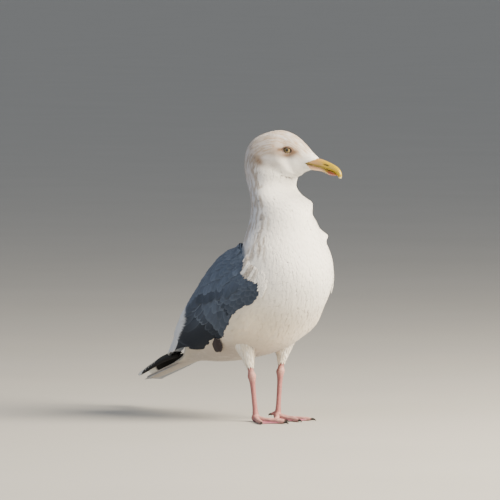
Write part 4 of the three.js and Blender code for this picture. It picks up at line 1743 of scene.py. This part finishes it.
    def edging(self, rng: np.random.Generator) -> Patch:
        """White neck feathers that lie over the bend of the wing.

        Args:
            rng: The source of the unevenness.

        Returns:
            The patch.
        """
        count = 460
        v = rng.uniform(-38, 0, count)
        u = self.front(v) + 0.25 + rng.uniform(0, 0.35, count)
        size = rng.uniform(7, 15, count)
        tract = Tract(
            u=np.minimum(u, 7.8),
            v=v,
            length=size,
            width=size * 0.36,
            heading=rng.normal(-4, 7, count),
            root=np.full(count, -3.5),
            tip=rng.uniform(0.1, 0.7, count),
            camber=0.08,
            rise=0.4,
        )
        laid = lay(self.shoulder, Vane(rows=3, columns=4), tract, rng)
        angle = laid.v if self.side is Side.LEFT else 180 - laid.v
        tone = MARKINGS.coat(laid.u * 0 + 12.1, angle, laid.points, laid.lattice, rng)
        return laid.patch(tone, spots((u - 7) / 2, (v + 60) / 130, laid.lattice, 0.006))

    def primaries(self, rng: np.random.Generator) -> Patch:
        """The folded primaries: black, each shorter one above and outside the last, with white tips.

        Args:
            rng: The source of their small differences.

        Returns:
            The primaries, as one patch.
        """
        chart = BladeChart(side=self.side)
        still = {"shade": (0.0, 0.0), "tilt": 0.0, "camber": 0.1, "wander": 0.0}
        root = (0.0, 0.0)
        rows = [
            FeatherRow(2, root, (0.2, 0.25), (141, 138), (19, 18), (-1.4, -1.1), (-0.7, -0.4), white=(19, 16), **still),
            FeatherRow(5, root, (0.14, 0.36), (127, 84), (18, 15), (-0.8, 0.6), (-0.1, 1.4), white=(2, 2), **still),
        ]
        vane = Vane(rows=26, columns=10, root=0.45, widest=0.8, taper=0.0, roundness=0.09, barbs=0.0)
        return stacked(laid_rows(chart, vane, rows, BLACK_VANE, rng))

    def build(self, feather: bpy.types.Material, plumage: bpy.types.Material, black: bpy.types.Material) -> None:
        """Makes the wing's pieces.

        Args:
            feather: The finish of flight feathers and coverts.
            plumage: The finish of body feathers.
            black: The finish of the primaries.
        """
        rng = np.random.default_rng(SEED + 20 + self.side.value)
        word = self.side.word
        self.shell().piece(f"wing_shell_{word}", feather, "wing_feathers", [f"wing_{word}"])
        self.coverts(rng).piece(f"coverts_{word}", feather, "wing_feathers")
        rows = laid_rows(self.chart, self.large, self.rows(), FLIGHT_VANE, rng, self)
        rows += laid_rows(BodyChart(Loft(SPINE)), self.broad, self.hanging(), BROWN_VANE, rng)
        stacked(rows).piece(f"flight_feathers_{word}", feather, "wing_feathers")
        tertials = laid_rows(self.chart, self.large, self.tertials(), SLATE_VANE, rng, self)
        stacked(tertials).piece(f"tertials_{word}", feather, "wing_feathers")
        self.scapulars(rng).piece(f"scapulars_{word}", feather, "wing_feathers")
        self.edging(rng).piece(f"edging_{word}", plumage, "body_plumage")
        blade = self.primaries(rng).piece(f"primaries_{word}", black, "primary_feathers", [f"primaries_{word}"])
        thicken(blade, 0.35)


def thicken(thing: bpy.types.Object, thick: float) -> None:
    """Gives a sheet of feathers the thickness of a vane, inwards, in millimetres."""
    modifier = thing.modifiers.new("thickness", "SOLIDIFY")
    modifier.thickness = thick * MM
    modifier.offset = -1


@dataclass
class Tail:
    """Twelve white tail feathers, greyed by painted shade, stacked so that the middle pair is on top."""

    vane: Vane = Vane(rows=18, columns=10, root=0.8, widest=0.5, taper=0.04, roundness=0.05, barbs=0.0)

    def build(self, feather: bpy.types.Material) -> None:
        """Makes the tail's piece.

        Args:
            feather: The finish of flight feathers.
        """
        rng = np.random.default_rng(SEED + 40)
        chart = FanChart(Loft(SPINE))
        rows = []
        for sign in (-1, 1):
            # shade darkens the outer feathers more: painted shade.
            rows.append(
                FeatherRow(
                    6, (4.7, 4.7), (7.2 * sign, 1.5 * sign), (117, 119), (15, 16), (-1.5, 1.0), (-1.2, 0.7),
                    heading=(0.4 * sign, 0.1 * sign), shade=(0.45, 0.3), tilt=0.0, camber=0.06, wander=0.002,
                )
            )
        blade = stacked(laid_rows(chart, self.vane, rows, SHADED_WHITE_VANE, rng))
        thicken(blade.piece("tail_feathers", feather, "tail_feathers", ["tail"]), 0.35)


# ---------------------------------------------------------------- head


@dataclass
class Bill:
    """The bill's two halves, with nostrils and a bare gape."""

    rows: int = 150
    sides: int = 72
    nostril: tuple[float, float] = (57.0, -20.2)
    nostril_size: tuple[float, float] = (4.2, 1.0)
    base: str = "#b0864a"
    yellow: str = "#a48a00"
    pale: str = "#ded3a0"
    # dark olive painted shade along the upper half's lower edge
    olive: str = "#6f6a08"
    flesh: str = "#cca078"
    spot: str = "#8a1a00"
    closed: float = 0.5  # how far the lower half is pressed up into the upper

    def rings(self, stations: Array) -> Array:
        """Rings along a half of the bill.

        Args:
            stations: Its stations.

        Returns:
            Rows of points round it.
        """
        at, angle = np.meshgrid(
            np.linspace(0, len(stations) - 1, self.rows), np.arange(self.sides) * 360 / self.sides, indexing="ij"
        )
        return Loft(stations, 2.2).point(at, angle)

    def pit(self, ahead: Array, left: Array, up: Array) -> Array:
        """How deep in a nostril each place is, from 0 to 1: an oval slit that slants with the bill."""
        a, u = ahead - self.nostril[0], up - self.nostril[1]
        slant = u + 0.22 * a
        return np.exp(-((np.abs(a) / self.nostril_size[0]) ** 3) - (slant / self.nostril_size[1]) ** 2)

    def upper(self) -> Patch:
        """The upper half."""
        rings = self.rings(UPPER_BILL)
        ahead, left, up = np.moveaxis(head_frame(rings), -1, 0)
        pit = self.pit(ahead, left, up)
        rings = rings - head_side(left) * (1.5 * pit)[..., None]
        tone = mixed(linear(self.base), linear(self.yellow), smoothstep(38, 60, ahead))
        tone = mixed(tone, linear(self.pale), smoothstep(-35.0, -38.0, up) * smoothstep(70, 74, ahead))
        # Painted shade along the lower edge of the upper half, over the gape.
        edge_shade_share = smoothstep(4.4, 2.0, up - self.gape_line(ahead)) * smoothstep(64, 46, ahead)
        tone = mixed(tone, linear(self.olive), edge_shade_share * 0.75)
        # Painted shadow in the nostril's shallow dent.
        tone = mixed(tone, linear("#3a2c22"), pit * 0.85)
        return Patch.tube(rings, tone)

    def gape_line(self, ahead: Array) -> Array:
        """The height of the line between the two halves."""
        return np.interp(ahead, [22, 36, 53, 63, 74.6, 78], [-18.8, -22.0, -25.8, -27.2, -32.0, -38.9])

    def lower(self) -> Patch:
        """The lower half."""
        rings = self.rings(LOWER_BILL) + np.array([0.0, 0.0, self.closed])
        ahead, _, up = np.moveaxis(head_frame(rings), -1, 0)
        tone = mixed(linear(self.flesh), linear(self.yellow), smoothstep(46, 60, ahead))
        below = self.gape_line(ahead) - up
        red = np.exp(-(((ahead - 66.5) / 8.0) ** 4) - ((below - 4.6) / 4.0) ** 4)
        tone = mixed(tone, linear(self.spot), red)
        return Patch.tube(rings, tone)

    def build(self, horn: bpy.types.Material) -> None:
        """Makes the bill's pieces.

        Args:
            horn: The bill's finish.
        """
        self.upper().piece("bill_upper", horn, "bill_horn", ["upper_bill"])
        self.lower().piece("bill_lower", horn, "bill_horn", ["lower_bill"])


def head_side(left: Array) -> Array:
    """The way out to the nearer side of the head, in the design frame."""
    turn = math.radians(HEAD_TURN)
    way = np.array([-math.sin(turn), math.cos(turn), 0.0])
    return np.sign(left)[..., None] * way


@dataclass
class Eye:
    """An eye in its bare ring of lids. Its axis points out and a little ahead."""

    side: Side
    look: float = 12.0  # how far ahead of straight out the pupil faces
    pupil: float = 2.1
    iris: float = 4.6
    rings: int = 64
    sides: int = 64
    inner: str = "#7d6939"  # the iris, round the pupil
    outer: str = "#998453"
    ring: str = "#3d2f20"  # the dark ring round the iris
    black: str = "#080706"
    lid: str = "#6e5a50"
    rim: str = "#241a16"

    def frame(self) -> tuple[Array, Array, Array]:
        """The ball's middle, its axis and the way ahead across it, in the head's frame."""
        sign = self.side.value
        turn = math.radians(self.look)
        axis = np.array([math.sin(turn), sign * math.cos(turn), 0.0])
        ahead = np.array([math.cos(turn), -sign * math.sin(turn), 0.0])
        return np.array([0.0, sign * EYE_OUT, 0.0]), axis, ahead

    def ball(self) -> Patch:
        """The eyeball: rings from the axis back, each at radius sin of its angle."""
        middle, axis, ahead = self.frame()
        turn, round_it = np.meshgrid(
            np.linspace(0.01, math.radians(100), self.rings),
            np.arange(self.sides) * math.tau / self.sides,
            indexing="ij",
        )
        way = (
            np.cos(turn)[..., None] * axis
            + (np.sin(turn) * np.cos(round_it))[..., None] * ahead
            + (np.sin(turn) * np.sin(round_it))[..., None] * UP
        )
        local = middle + EYE_RADIUS * way
        radius = EYE_RADIUS * np.sin(turn)
        tone = mixed(linear(self.inner), linear(self.outer), smoothstep(2.2, 3.6, radius))
        tone = mixed(tone, linear(self.ring), smoothstep(self.iris - 0.9, self.iris, radius))
        tone = mixed(tone, linear(self.black), smoothstep(self.pupil + 0.18, self.pupil - 0.18, radius))
        patch = Patch.tube(head_point(*np.moveaxis(local, -1, 0)), tone)
        return patch if self.side is Side.RIGHT else patch.flipped()

    def lids(self) -> Patch:
        """The lids: a soft dark rim on the ball round an almond opening, and bare skin out under the feathers.

        The section's places are shares of the opening's size, then heights over the ball or, further
        out, over a plane that leans with the side of the head.
        """
        profile = np.array(
            [(0.9, -0.4), (0.95, 0.12), (1.02, 0.42), (1.12, 0.5), (1.24, 0.3), (1.4, 0.0), (1.7, -0.6), (1.9, -1.6)]
        )
        section = through(profile, np.linspace(0, len(profile) - 1, 44))
        round_it, part = np.meshgrid(np.arange(96) * math.tau / 96, np.arange(len(section)), indexing="ij")
        share, height = section[part][..., 0], section[part][..., 1]
        # The opening narrows to a corner at each end, and its upper edge is a little flatter.
        across, rise = np.cos(round_it), np.sin(round_it)
        rise = np.sign(rise) * np.abs(rise) ** 1.25 * np.where(rise > 0, 0.86, 1.0)
        ahead = EYE_SEAT[0] + share * LID_HALF[0] * across * (1 + 0.06 * np.sign(across))
        up = EYE_SEAT[1] + share * LID_HALF[1] * rise - 0.25 * across * share
        off = np.hypot(ahead, up)
        on_ball = EYE_OUT + np.sqrt(np.maximum(EYE_RADIUS**2 - np.minimum(off, 5.6) ** 2, 0))
        plane = 21.1 - 0.36 * ahead - 0.012 * up**2
        blend = smoothstep(1.0, 1.45, share)
        sign = self.side.value
        out = on_ball * (1 - blend) + plane * blend + height
        points = head_point(ahead, sign * out, up)
        tone = mixed(linear(self.lid), linear(self.rim), smoothstep(1.42, 1.12, share))
        tone = mixed(tone, linear(MARKINGS.smudge), smoothstep(1.3, 1.6, share))
        index = np.arange(round_it.size).reshape(round_it.shape)
        ahead_i, beside = np.roll(index, -1, 0), np.roll(index, -1, 1)
        quads = np.stack([index, beside, np.roll(ahead_i, -1, 1), ahead_i], -1).reshape(-1, 4)
        vane = np.stack([part / len(section), round_it / math.tau], -1).reshape(-1, 2)
        patch = Patch(points.reshape(-1, 3), quads, np.zeros((0, 3), int), tone.reshape(-1, 3), vane)
        return patch.flipped() if self.side is Side.RIGHT else patch

    def build(self, wet: bpy.types.Material, lid: bpy.types.Material) -> None:
        """Makes the eye and its lids.

        Args:
            wet: The eye's finish.
            lid: The lids' finish.
        """
        word = self.side.word
        self.ball().piece(f"eyeball_{word}", wet, "eye_gloss", [f"eye_{word}"])
        self.lids().piece(f"lids_{word}", lid, "body_plumage")


# ---------------------------------------------------------------- legs


@dataclass(frozen=True)
class Leg:
    """One leg's joints, and its toes as (name, heading, length)."""

    side: Side
    top: tuple[float, float, float]
    hock: tuple[float, float, float]
    foot: tuple[float, float, float]
    toes: tuple[tuple[str, float, float], ...]
    hind: float


LEGS = (
    Leg(
        Side.RIGHT, (-5, -34, 120), (3.3, -25.6, 64.7), (7.4, -21.6, 6.4),
        (("outer", -24, 63), ("middle", 8, 71), ("inner", 38, 50)), 150,
    ),
    Leg(
        Side.LEFT, (-4, 35, 120), (-12.9, 32, 69), (-13.6, 28, 6.4),
        (("inner", -36, 50), ("middle", -4, 71), ("outer", 26, 63)), -150,
    ),
)
CLAW_LENGTH = {"inner": 7.0, "middle": 9.0, "outer": 8.0, "hind": 5.0}
# Sections of a leg: share of the way, reach across, reach fore and aft.
THIGH = ((0, 17, 24), (0.28, 14, 17), (0.52, 9.5, 11), (0.72, 6.4, 7), (0.83, 5, 5.2), (0.95, 5.2, 5.6))
SHIN = ((0.55, 3.6, 4.0), (0.83, 3.8, 4.2), (0.93, 4.6, 5))
TARSUS = (
    (0, 5.6, 6.6), (0.05, 5.5, 6.4), (0.13, 4.2, 5.2), (0.3, 3.4, 4.1), (0.75, 3.3, 3.9), (0.9, 4.1, 4.5), (1, 4.6, 5)
)
# Sections of a toe: share of the way, height, reach across, reach up and down. It swells at its joints.
TOE = (
    (0, 5, 4.4, 4.4), (0.22, 3.5, 3.5, 3.8), (0.32, 2.9, 3.0, 3.2), (0.42, 2.7, 2.9, 3.1), (0.52, 2.7, 3.5, 3.3),
    (0.62, 2.7, 2.8, 3.0), (0.7, 2.7, 2.7, 2.9), (0.8, 2.7, 3.2, 3.0), (0.88, 2.7, 2.8, 2.8), (1, 2.6, 1.8, 1.9),
)
HIND_TOE = ((0.2, 9.5, 2.6, 2.8), (0.6, 8.6, 2.4, 2.5), (1, 7.4, 1.7, 1.8))
CLAW = (
    (-0.12, -0.1, 1.4, 1.4, 0), (0, 0, 1.75, 1.75, 0), (0.4, 0.2, 1.4, 1.6, -12), (0.8, -0.7, 0.9, 1, -30),
    (1, -1.9, 0.3, 0.3, -40),
)


def limb_stations(start: Sequence[float], end: Sequence[float], table: Sequence[Sequence[float]]) -> Array:
    """Stations between two joints.

    Args:
        start: The upper joint.
        end: The lower joint.
        table: Share of the way, reach across and reach fore and aft.

    Returns:
        The stations, facing down along the limb.
    """
    start, end = np.array(start, float), np.array(end, float)
    pitch = math.degrees(math.asin((end - start)[2] / np.linalg.norm(end - start)))
    rows = []
    for share, half, deep in table:
        middle = start + (end - start) * share
        rows.append(station(middle[0], middle[2], pitch, half, deep, deep, 0, middle[1]))
    return np.array(rows)


@dataclass
class LegParts:
    """One leg: the skin from the thigh to the toes, the thigh's feathers and the claws.

    The skin's shafts, toes and webs are separate closed forms first. They are made into one surface
    by laying a fine grid of cubes over them all, and its scales are then raised along the normals.
    """

    leg: Leg
    grid_mm: float = 0.6
    hind_length: float = 10.0
    web_reach: float = 0.82
    web_hollow: float = 0.24
    pink: str = "#a56c6b"
    knuckle: str = "#d8b0a6"
    web: str = "#97586a"
    # mauve painted shade for the back of the leg
    mauve: str = "#7f5768"
    claw_root: str = "#5a463d"
    claw_tip: str = "#1d1714"
    web_arch: float = 0.315

    def toe_middle(self, heading: float, distance: Array, height: Array) -> Array:
        """Places some way along a toe, over the ground."""
        turn = math.radians(heading)
        x = self.leg.foot[0] + math.cos(turn) * distance
        return np.stack([x, self.leg.foot[1] + math.sin(turn) * distance, height + 0 * x], -1)

    def toe_stations(
        self, heading: float, start: float, length: float, table: Sequence[Sequence[float]], rise: float, pitch: float
    ) -> Array:
        """Stations along a toe or a claw.

        Args:
            heading: The toe's heading.
            start: Where the form starts along it.
            length: The form's length.
            table: Share of the way, height, reach across, reach up and down and, on a claw, the pitch.
            rise: What is added to each height.
            pitch: The pitch where the table has none.

        Returns:
            The stations.
        """
        rows = []
        for share, height, half, deep, *rest in table:
            middle = self.toe_middle(heading, start + share * length, height + rise)
            tilt = rest[0] if rest else pitch
            rows.append(station(middle[0], middle[2], tilt, half, deep, deep, heading, middle[1]))
        return np.array(rows)

    def tube(self, stations: Array, rows: int, sides: int, tone: str) -> Patch:
        """A closed form through stations."""
        at, angle = np.meshgrid(
            np.linspace(0, len(stations) - 1, rows), np.arange(sides) * 360 / sides, indexing="ij"
        )
        points = Loft(stations).point(at, angle)
        return Patch.tube(points, np.broadcast_to(linear(tone), points.shape))

    def web_plate(self, one: tuple[str, float, float], other: tuple[str, float, float]) -> Patch:
        """The web between two toes: rays from the ankle to a hollow front edge, thin and a little arched.

        Args:
            one: The first toe.
            other: The toe to its left.

        Returns:
            The patch.
        """
        hub = self.toe_middle(0, np.array(0.0), np.array(0.0))
        ends = [self.toe_middle(toe[1], np.array(toe[2] * self.web_reach), np.array(0.0)) for toe in (one, other)]
        hollow = (ends[0] + ends[1]) / 2 * (1 - self.web_hollow) + hub * self.web_hollow
        share, ray = np.meshgrid(np.linspace(0.04, 1, 60), np.linspace(0, 1, 50), indexing="ij")
        curve = (((1 - ray) ** 2, ends[0]), (2 * ray * (1 - ray), hollow), (ray**2, ends[1]))
        front = sum(share_of[..., None] * place for share_of, place in curve)
        flat = hub + (front - hub) * share[..., None]
        arch = self.web_arch * np.sin(np.pi * ray) * share * np.cos(share * 9 + ray * 4)
        top = flat + UP * (2.1 + arch)[..., None]
        return Patch.plate(top, flat + 0.5 * UP, np.broadcast_to(linear(self.web), top.shape))

    def forms(self) -> list[Patch]:
        """The closed forms that the skin is made from."""
        leg = self.leg
        shin = limb_stations(leg.top, leg.hock, SHIN)
        tarsus = limb_stations(leg.hock, leg.foot, TARSUS)
        thigh = limb_stations(leg.top, leg.hock, [(s, h - 2.2, d - 2.4) for s, h, d in THIGH[:5]])
        forms = [
            self.tube(thigh, 40, 40, self.pink),
            self.tube(np.vstack([shin, tarsus]), 140, 48, self.pink),
        ]
        ankle = [(-6.2, 0.4), (-4.4, 4.4), (0, 6.2), (4.4, 4.4), (6.2, 0.4)]
        middle = self.toe_middle(0, np.array(0.0), np.array(5.6))
        balls = [station(middle[0], middle[2] + z, 90, r, r, r, 0, middle[1]) for z, r in ankle]
        forms.append(self.tube(np.array(balls), 30, 32, self.pink))
        for name, heading, length in leg.toes:
            flesh = length - CLAW_LENGTH[name]
            forms.append(self.tube(self.toe_stations(heading, 0, flesh, TOE, 0, 0), 120, 36, self.pink))
        hind = self.toe_stations(leg.hind, 0, self.hind_length, HIND_TOE, 0, -15)
        forms.append(self.tube(hind, 30, 28, self.pink))
        outer, middle_toe, inner = leg.toes
        forms.append(self.web_plate(outer, middle_toe))
        forms.append(self.web_plate(middle_toe, inner))
        return forms

    def skin(self) -> Patch:
        """The leg's skin as one surface, with its scales and colours.

        Returns:
            The patch.
        """
        whole = bpy.data.objects.new("leg_forms", Patch.joined(self.forms()).mesh("leg_forms"))
        bpy.context.scene.collection.objects.link(whole)
        grid = whole.modifiers.new("grid", "REMESH")
        grid.mode = "VOXEL"
        grid.voxel_size = self.grid_mm * MM
        soft = whole.modifiers.new("soft", "SMOOTH")
        soft.factor = 0.5
        soft.iterations = 3
        mesh = whole.evaluated_get(bpy.context.evaluated_depsgraph_get()).to_mesh()
        points = np.empty(len(mesh.vertices) * 3, np.float32)
        normals = np.empty(len(mesh.vertices) * 3, np.float32)
        corners = np.empty(len(mesh.loops), np.int32)
        mesh.vertices.foreach_get("co", points)
        mesh.vertices.foreach_get("normal", normals)
        mesh.loops.foreach_get("vertex_index", corners)
        points = points.reshape(-1, 3).astype(float) / MM - SHIFT
        normals = normals.reshape(-1, 3).astype(float)
        bpy.data.objects.remove(whole, do_unlink=True)
        points, tone = self.scaled(points, normals)
        return Patch(points, corners.reshape(-1, 4), np.zeros((0, 3), int), tone, points[:, :2] / 100)

    def scaled(self, points: Array, normals: Array) -> tuple[Array, Array]:
        """Raises the scutes and colours the skin.

        The scutes are broad plates down the front of the tarsus and along the top of each toe: low
        arches, sunk at even steps along the limb.

        Args:
            points: The surface's points.
            normals: Their normals.

        Returns:
            The raised points and their colours.
        """
        leg = self.leg
        x, y, z = points.T
        tone = np.broadcast_to(linear(self.pink), points.shape)
        rise = np.zeros(len(points))
        hock, foot = np.array(leg.hock), np.array(leg.foot)
        near_hock = np.exp(-((np.linalg.norm(points - hock, axis=1) / 8.5) ** 4))
        on_shaft = smoothstep(9, 13, z)
        front = smoothstep(-0.1, 0.6, normals[:, 0])
        plate = np.abs(np.sin(np.pi * z / 2.6)) ** 0.45 - 0.8
        rise += 0.2 * plate * on_shaft * front * smoothstep(110, 96, z)
        tone = mixed(tone, linear(self.knuckle), 0.6 * near_hock * front)
        over_web = smoothstep(4, 2.5, z)
        tone = mixed(tone, linear(self.web), over_web)
        for name, heading, length in leg.toes:
            turn = math.radians(heading)
            along = (x - foot[0]) * math.cos(turn) + (y - foot[1]) * math.sin(turn)
            aside = -(x - foot[0]) * math.sin(turn) + (y - foot[1]) * math.cos(turn)
            on_toe = smoothstep(3.6, 2.6, np.abs(aside)) * smoothstep(2, 8, along) * smoothstep(13, 10, z)
            arch = np.abs(np.sin(np.pi * along / 2.1)) ** 0.45 - 0.8
            rise += 0.22 * arch * on_toe * smoothstep(0.1, 0.5, normals[:, 2])
            joints = np.exp(-(((along / (length - CLAW_LENGTH[name]) - 0.52) / 0.06) ** 2))
            joints += np.exp(-(((along / (length - CLAW_LENGTH[name]) - 0.8) / 0.05) ** 2))
            tone = mixed(tone, linear(self.pink), on_toe)
            tone = mixed(tone, linear(self.knuckle), on_toe * (0.35 + 0.4 * np.clip(joints, 0, 1)))
        web_fold = np.sin(np.hypot(x - foot[0], y - foot[1]) * 1.15 + 0.6 * np.sin(y * 0.3)) * over_web
        rise += 0.12 * web_fold * smoothstep(0.5, 0.9, normals[:, 2])
        # Painted shade: mauve on the back of the shaft, away from the light.
        back = smoothstep(0.2, -0.7, normals[:, 0]) * on_shaft
        tone = mixed(tone, linear(self.mauve), 0.55 * back)
        tone = mixed(tone, linear(MARKINGS.white), smoothstep(80, 84, z))
        points = points + normals * rise[:, None]
        points[:, 2] = np.maximum(points[:, 2], 0.05)
        return points, tone

    def thigh_coat(self, rng: np.random.Generator) -> Patch:
        """The thigh's short white feathers, which end loosely over the bare shin.

        Args:
            rng: The source of the unevenness.

        Returns:
            The patch.
        """
        chart = LimbChart(Loft(limb_stations(self.leg.top, self.leg.hock, THIGH)))

        def length(at: Array) -> Array:
            """A feather's length: shorter towards the shin."""
            return np.interp(at, [0.5, 2, 3.1], [15, 11, 6])

        u, v = scatter(chart, (0.05, 3.1), (0.0, 360.0), lambda at: 0.075 * length(at) ** 2)
        count = len(u)
        size = length(u) * rng.uniform(0.8, 1.25, count)
        tract = Tract(
            u=u,
            v=v,
            length=size,
            width=size * 0.33,
            heading=rng.normal(0, 9, count),
            root=np.full(count, -2.0),
            tip=rng.uniform(-0.2, 0.6, count),
            camber=0.2,
        )
        laid = lay(chart, Vane(rows=3, columns=4), tract, rng)
        ground = mixed(linear(MARKINGS.white), linear(MARKINGS.cream), rng.uniform(0.1, 0.7, (count, 1)))
        tone = np.broadcast_to(ground, laid.points.shape) * rng.uniform(0.94, 1.02, (count, 1, 1))
        return laid.patch(tone, spots(u / 5, v / 360, laid.lattice, 0.004))

    def claws(self) -> Patch:
        """The four claws: dark horn, paler at the root."""
        patches = []
        toes = [(name, heading, length - CLAW_LENGTH[name], 2.6) for name, heading, length in self.leg.toes]
        for name, heading, start, rise in [*toes, ("hind", self.leg.hind, self.hind_length, 7.0)]:
            stations = self.toe_stations(heading, start, CLAW_LENGTH[name], CLAW, rise, 0)
            patch = self.tube(stations, 28, 20, self.claw_tip)
            away = (patch.points[:, :2] - np.array(self.leg.foot[:2])) @ np.array(
                [math.cos(math.radians(heading)), math.sin(math.radians(heading))]
            )
            patch.tone = mixed(linear(self.claw_root), linear(self.claw_tip), smoothstep(-0.5, 3.5, away - start))
            patch.points[:, 2] = np.maximum(patch.points[:, 2], 0.05)
            patches.append(patch)
        return Patch.joined(patches)

    def build(self, plumage: bpy.types.Material, horn: bpy.types.Material) -> None:
        """Makes the thigh's feathers and the claws.

        Args:
            plumage: The finish of body feathers.
            horn: The claws' finish.
        """
        word = self.leg.side.word
        rng = np.random.default_rng(SEED + 60 + self.leg.side.value)
        self.thigh_coat(rng).piece(f"coat_thigh_{word}", plumage, "body_plumage")
        nodes = [f"claw_{word}_{name}" for name in CLAW_LENGTH]
        self.claws().piece(f"claws_{word}", horn, "claw_horn", nodes)


def build_skin(body: Body, legs: Sequence[LegParts], hide: bpy.types.Material) -> None:
    """Makes the one skin of body and legs, which stands for all the flesh solids.

    Args:
        body: The body.
        legs: The legs.
        hide: The skin's finish.
    """
    nodes = ["trunk", "rump", "neck", "head"]
    nodes += [f"{part}_{side.word}" for part in ("thigh", "shank", "foot") for side in Side]
    patch = Patch.joined([body.skin(), *(leg.skin() for leg in legs)])
    patch.piece("skin", hide, "leg_skin", nodes)


# ---------------------------------------------------------------- studio


@dataclass(frozen=True)
class Studio:
    """A plain pale floor that runs out under a sky of the same tone, a soft key light and a weaker fill."""

    floor_radius: float = 80.0
    floor_tone: str = "#a3a29f"
    floor_cloud: str = "#aaa9a6"
    sky_tone: str = "#cfd3d8"
    sky: float = 0.65
    turn: float = 58.0  # the camera's way round the bird: 0 sees its right side square on, 90 its front
    rise: float = 2.8
    distance: float = 10.0
    lens: float = 514.0
    aim: tuple[float, float] = (-22.5, 239.8)  # sideways across the picture and up, in millimetres

    def floor(self) -> None:
        """Makes the floor, a wide disc of matt card with a faint cloudiness."""
        rings = np.concatenate([[0.0], np.geomspace(0.5, self.floor_radius, 24)])[1:]
        angle = np.arange(64) * math.tau / 64
        grid = np.stack(
            [rings[:, None] * np.cos(angle), rings[:, None] * np.sin(angle), 0 * rings[:, None] * angle], -1
        ).reshape(-1, 3)
        index = np.arange(len(rings) * 64).reshape(len(rings), 64)
        beside = np.roll(index, -1, 1)
        quads = np.stack([index[:-1], index[1:], beside[1:], beside[:-1]], -1).reshape(-1, 4).tolist()
        centre = [[len(grid), int(a), int(b)] for a, b in zip(index[0], beside[0])]
        mesh = bpy.data.meshes.new("floor")
        mesh.from_pydata([*grid.tolist(), (0, 0, 0)], [], quads + centre)
        card, tree = empty_material("matt_floor_card")
        spot = add_node(tree, "ShaderNodeTexCoord")
        cloud = add_node(tree, "ShaderNodeTexNoise", None, Vector=spot.outputs["Object"], Scale=3.0, Detail=3.0)
        ramp = add_node(tree, "ShaderNodeMix", {"data_type": "RGBA"})
        tree.links.new(cloud.outputs["Fac"], ramp.inputs[0])
        ramp.inputs[6].default_value = rgba(self.floor_tone)
        ramp.inputs[7].default_value = rgba(self.floor_cloud)
        surface = add_node(tree, "ShaderNodeBsdfPrincipled", None, Base_Color=ramp.outputs[2], Roughness=0.9, IOR=1.45)
        add_node(tree, "ShaderNodeOutputMaterial", None, Surface=surface.outputs[0])
        floor = bpy.data.objects.new("floor", mesh)
        bpy.context.scene.collection.objects.link(floor)
        floor.data.materials.append(card)

    def light(self, name: str, size: float, watts: float, turn: float, rise: float, distance: float, tint: str) -> None:
        """Adds an area light that faces the bird.

        Args:
            name: The light's name.
            size: Its width.
            watts: Its power.
            turn: Its way round, as the camera's.
            rise: Its height over the level, in degrees.
            distance: How far off it is.
            tint: Its colour.
        """
        lamp = bpy.data.lights.new(name, "AREA")
        lamp.shape = "DISK"
        lamp.size = size
        lamp.energy = watts
        lamp.color = linear(tint).tolist()
        thing = bpy.data.objects.new(name, lamp)
        bpy.context.scene.collection.objects.link(thing)
        thing.matrix_world = self.facing(turn, rise, distance)

    def facing(self, turn: float, rise: float, distance: float) -> Matrix:
        """A frame that looks at the bird from a way round, a height and a distance in metres."""
        a, e = math.radians(turn), math.radians(rise)
        back = Vector((math.sin(a) * math.cos(e), -math.cos(a) * math.cos(e), math.sin(e)))
        slide, up = self.aim
        side = math.radians(self.turn)
        target = Vector((math.cos(side) * slide + SHIFT[0], math.sin(side) * slide, up)) * MM
        return Matrix.Translation(target + back * distance) @ back.to_track_quat("Z", "Y").to_matrix().to_4x4()

    def camera(self) -> None:
        """Adds the camera and makes it the scene's."""
        lens = bpy.data.cameras.new("camera")
        lens.lens = self.lens
        lens.sensor_width = 36
        lens.clip_end = 300
        camera = bpy.data.objects.new("camera", lens)
        bpy.context.scene.collection.objects.link(camera)
        camera.matrix_world = self.facing(self.turn, self.rise, self.distance)
        bpy.context.scene.camera = camera

    def build(self) -> None:
        """Makes the floor, the lights, the sky and the camera."""
        self.floor()
        world = bpy.data.worlds.new("sky")
        bpy.context.scene.world = world
        world.use_nodes = True
        world.node_tree.nodes["Background"].inputs["Color"].default_value = rgba(self.sky_tone)
        world.node_tree.nodes["Background"].inputs["Strength"].default_value = self.sky
        self.light("key", size=2.2, watts=480.0, turn=self.turn + 60, rise=32.0, distance=3.0, tint="#fff0d6")
        self.light("fill", size=2.4, watts=30.0, turn=self.turn - 50, rise=30.0, distance=3.4, tint="#dfe8f8")
        self.camera()


def main() -> None:
    """Builds the bird and its studio."""
    logging.basicConfig(level=logging.INFO, format="%(message)s")
    plumage = Feather("body_feathers", roughness=0.85, sheen=0.35, barbs=16.0).material()
    flight = Feather("flight_feathers", roughness=0.6, sheen=0.0, barbs=70.0, gloss=0.12).material()
    black = Feather("black_primaries", roughness=0.55, sheen=0.0, barbs=70.0, relief=0.1, gloss=0.08).material()
    hide = Hide("leg_skin").material()
    lid = Hide("lid_skin", roughness=0.55, scale_mm=0.6, relief=0.3).material()
    bill_horn = Horn("bill_horn").material()
    claw_horn = Horn("claw_horn", roughness=0.42).material()
    wet = WetEye("wet_eye").material()

    body = Body()
    legs = [LegParts(leg) for leg in LEGS]
    build_skin(body, legs, hide)
    body.build(plumage)
    for side in Side:
        Wing(side).build(flight, plumage, black)
        Eye(side).build(wet, lid)
    Tail().build(flight)
    Bill().build(bill_horn)
    for leg in legs:
        leg.build(plumage, claw_horn)
    Studio().build()


if __name__ == "__main__":
    main()
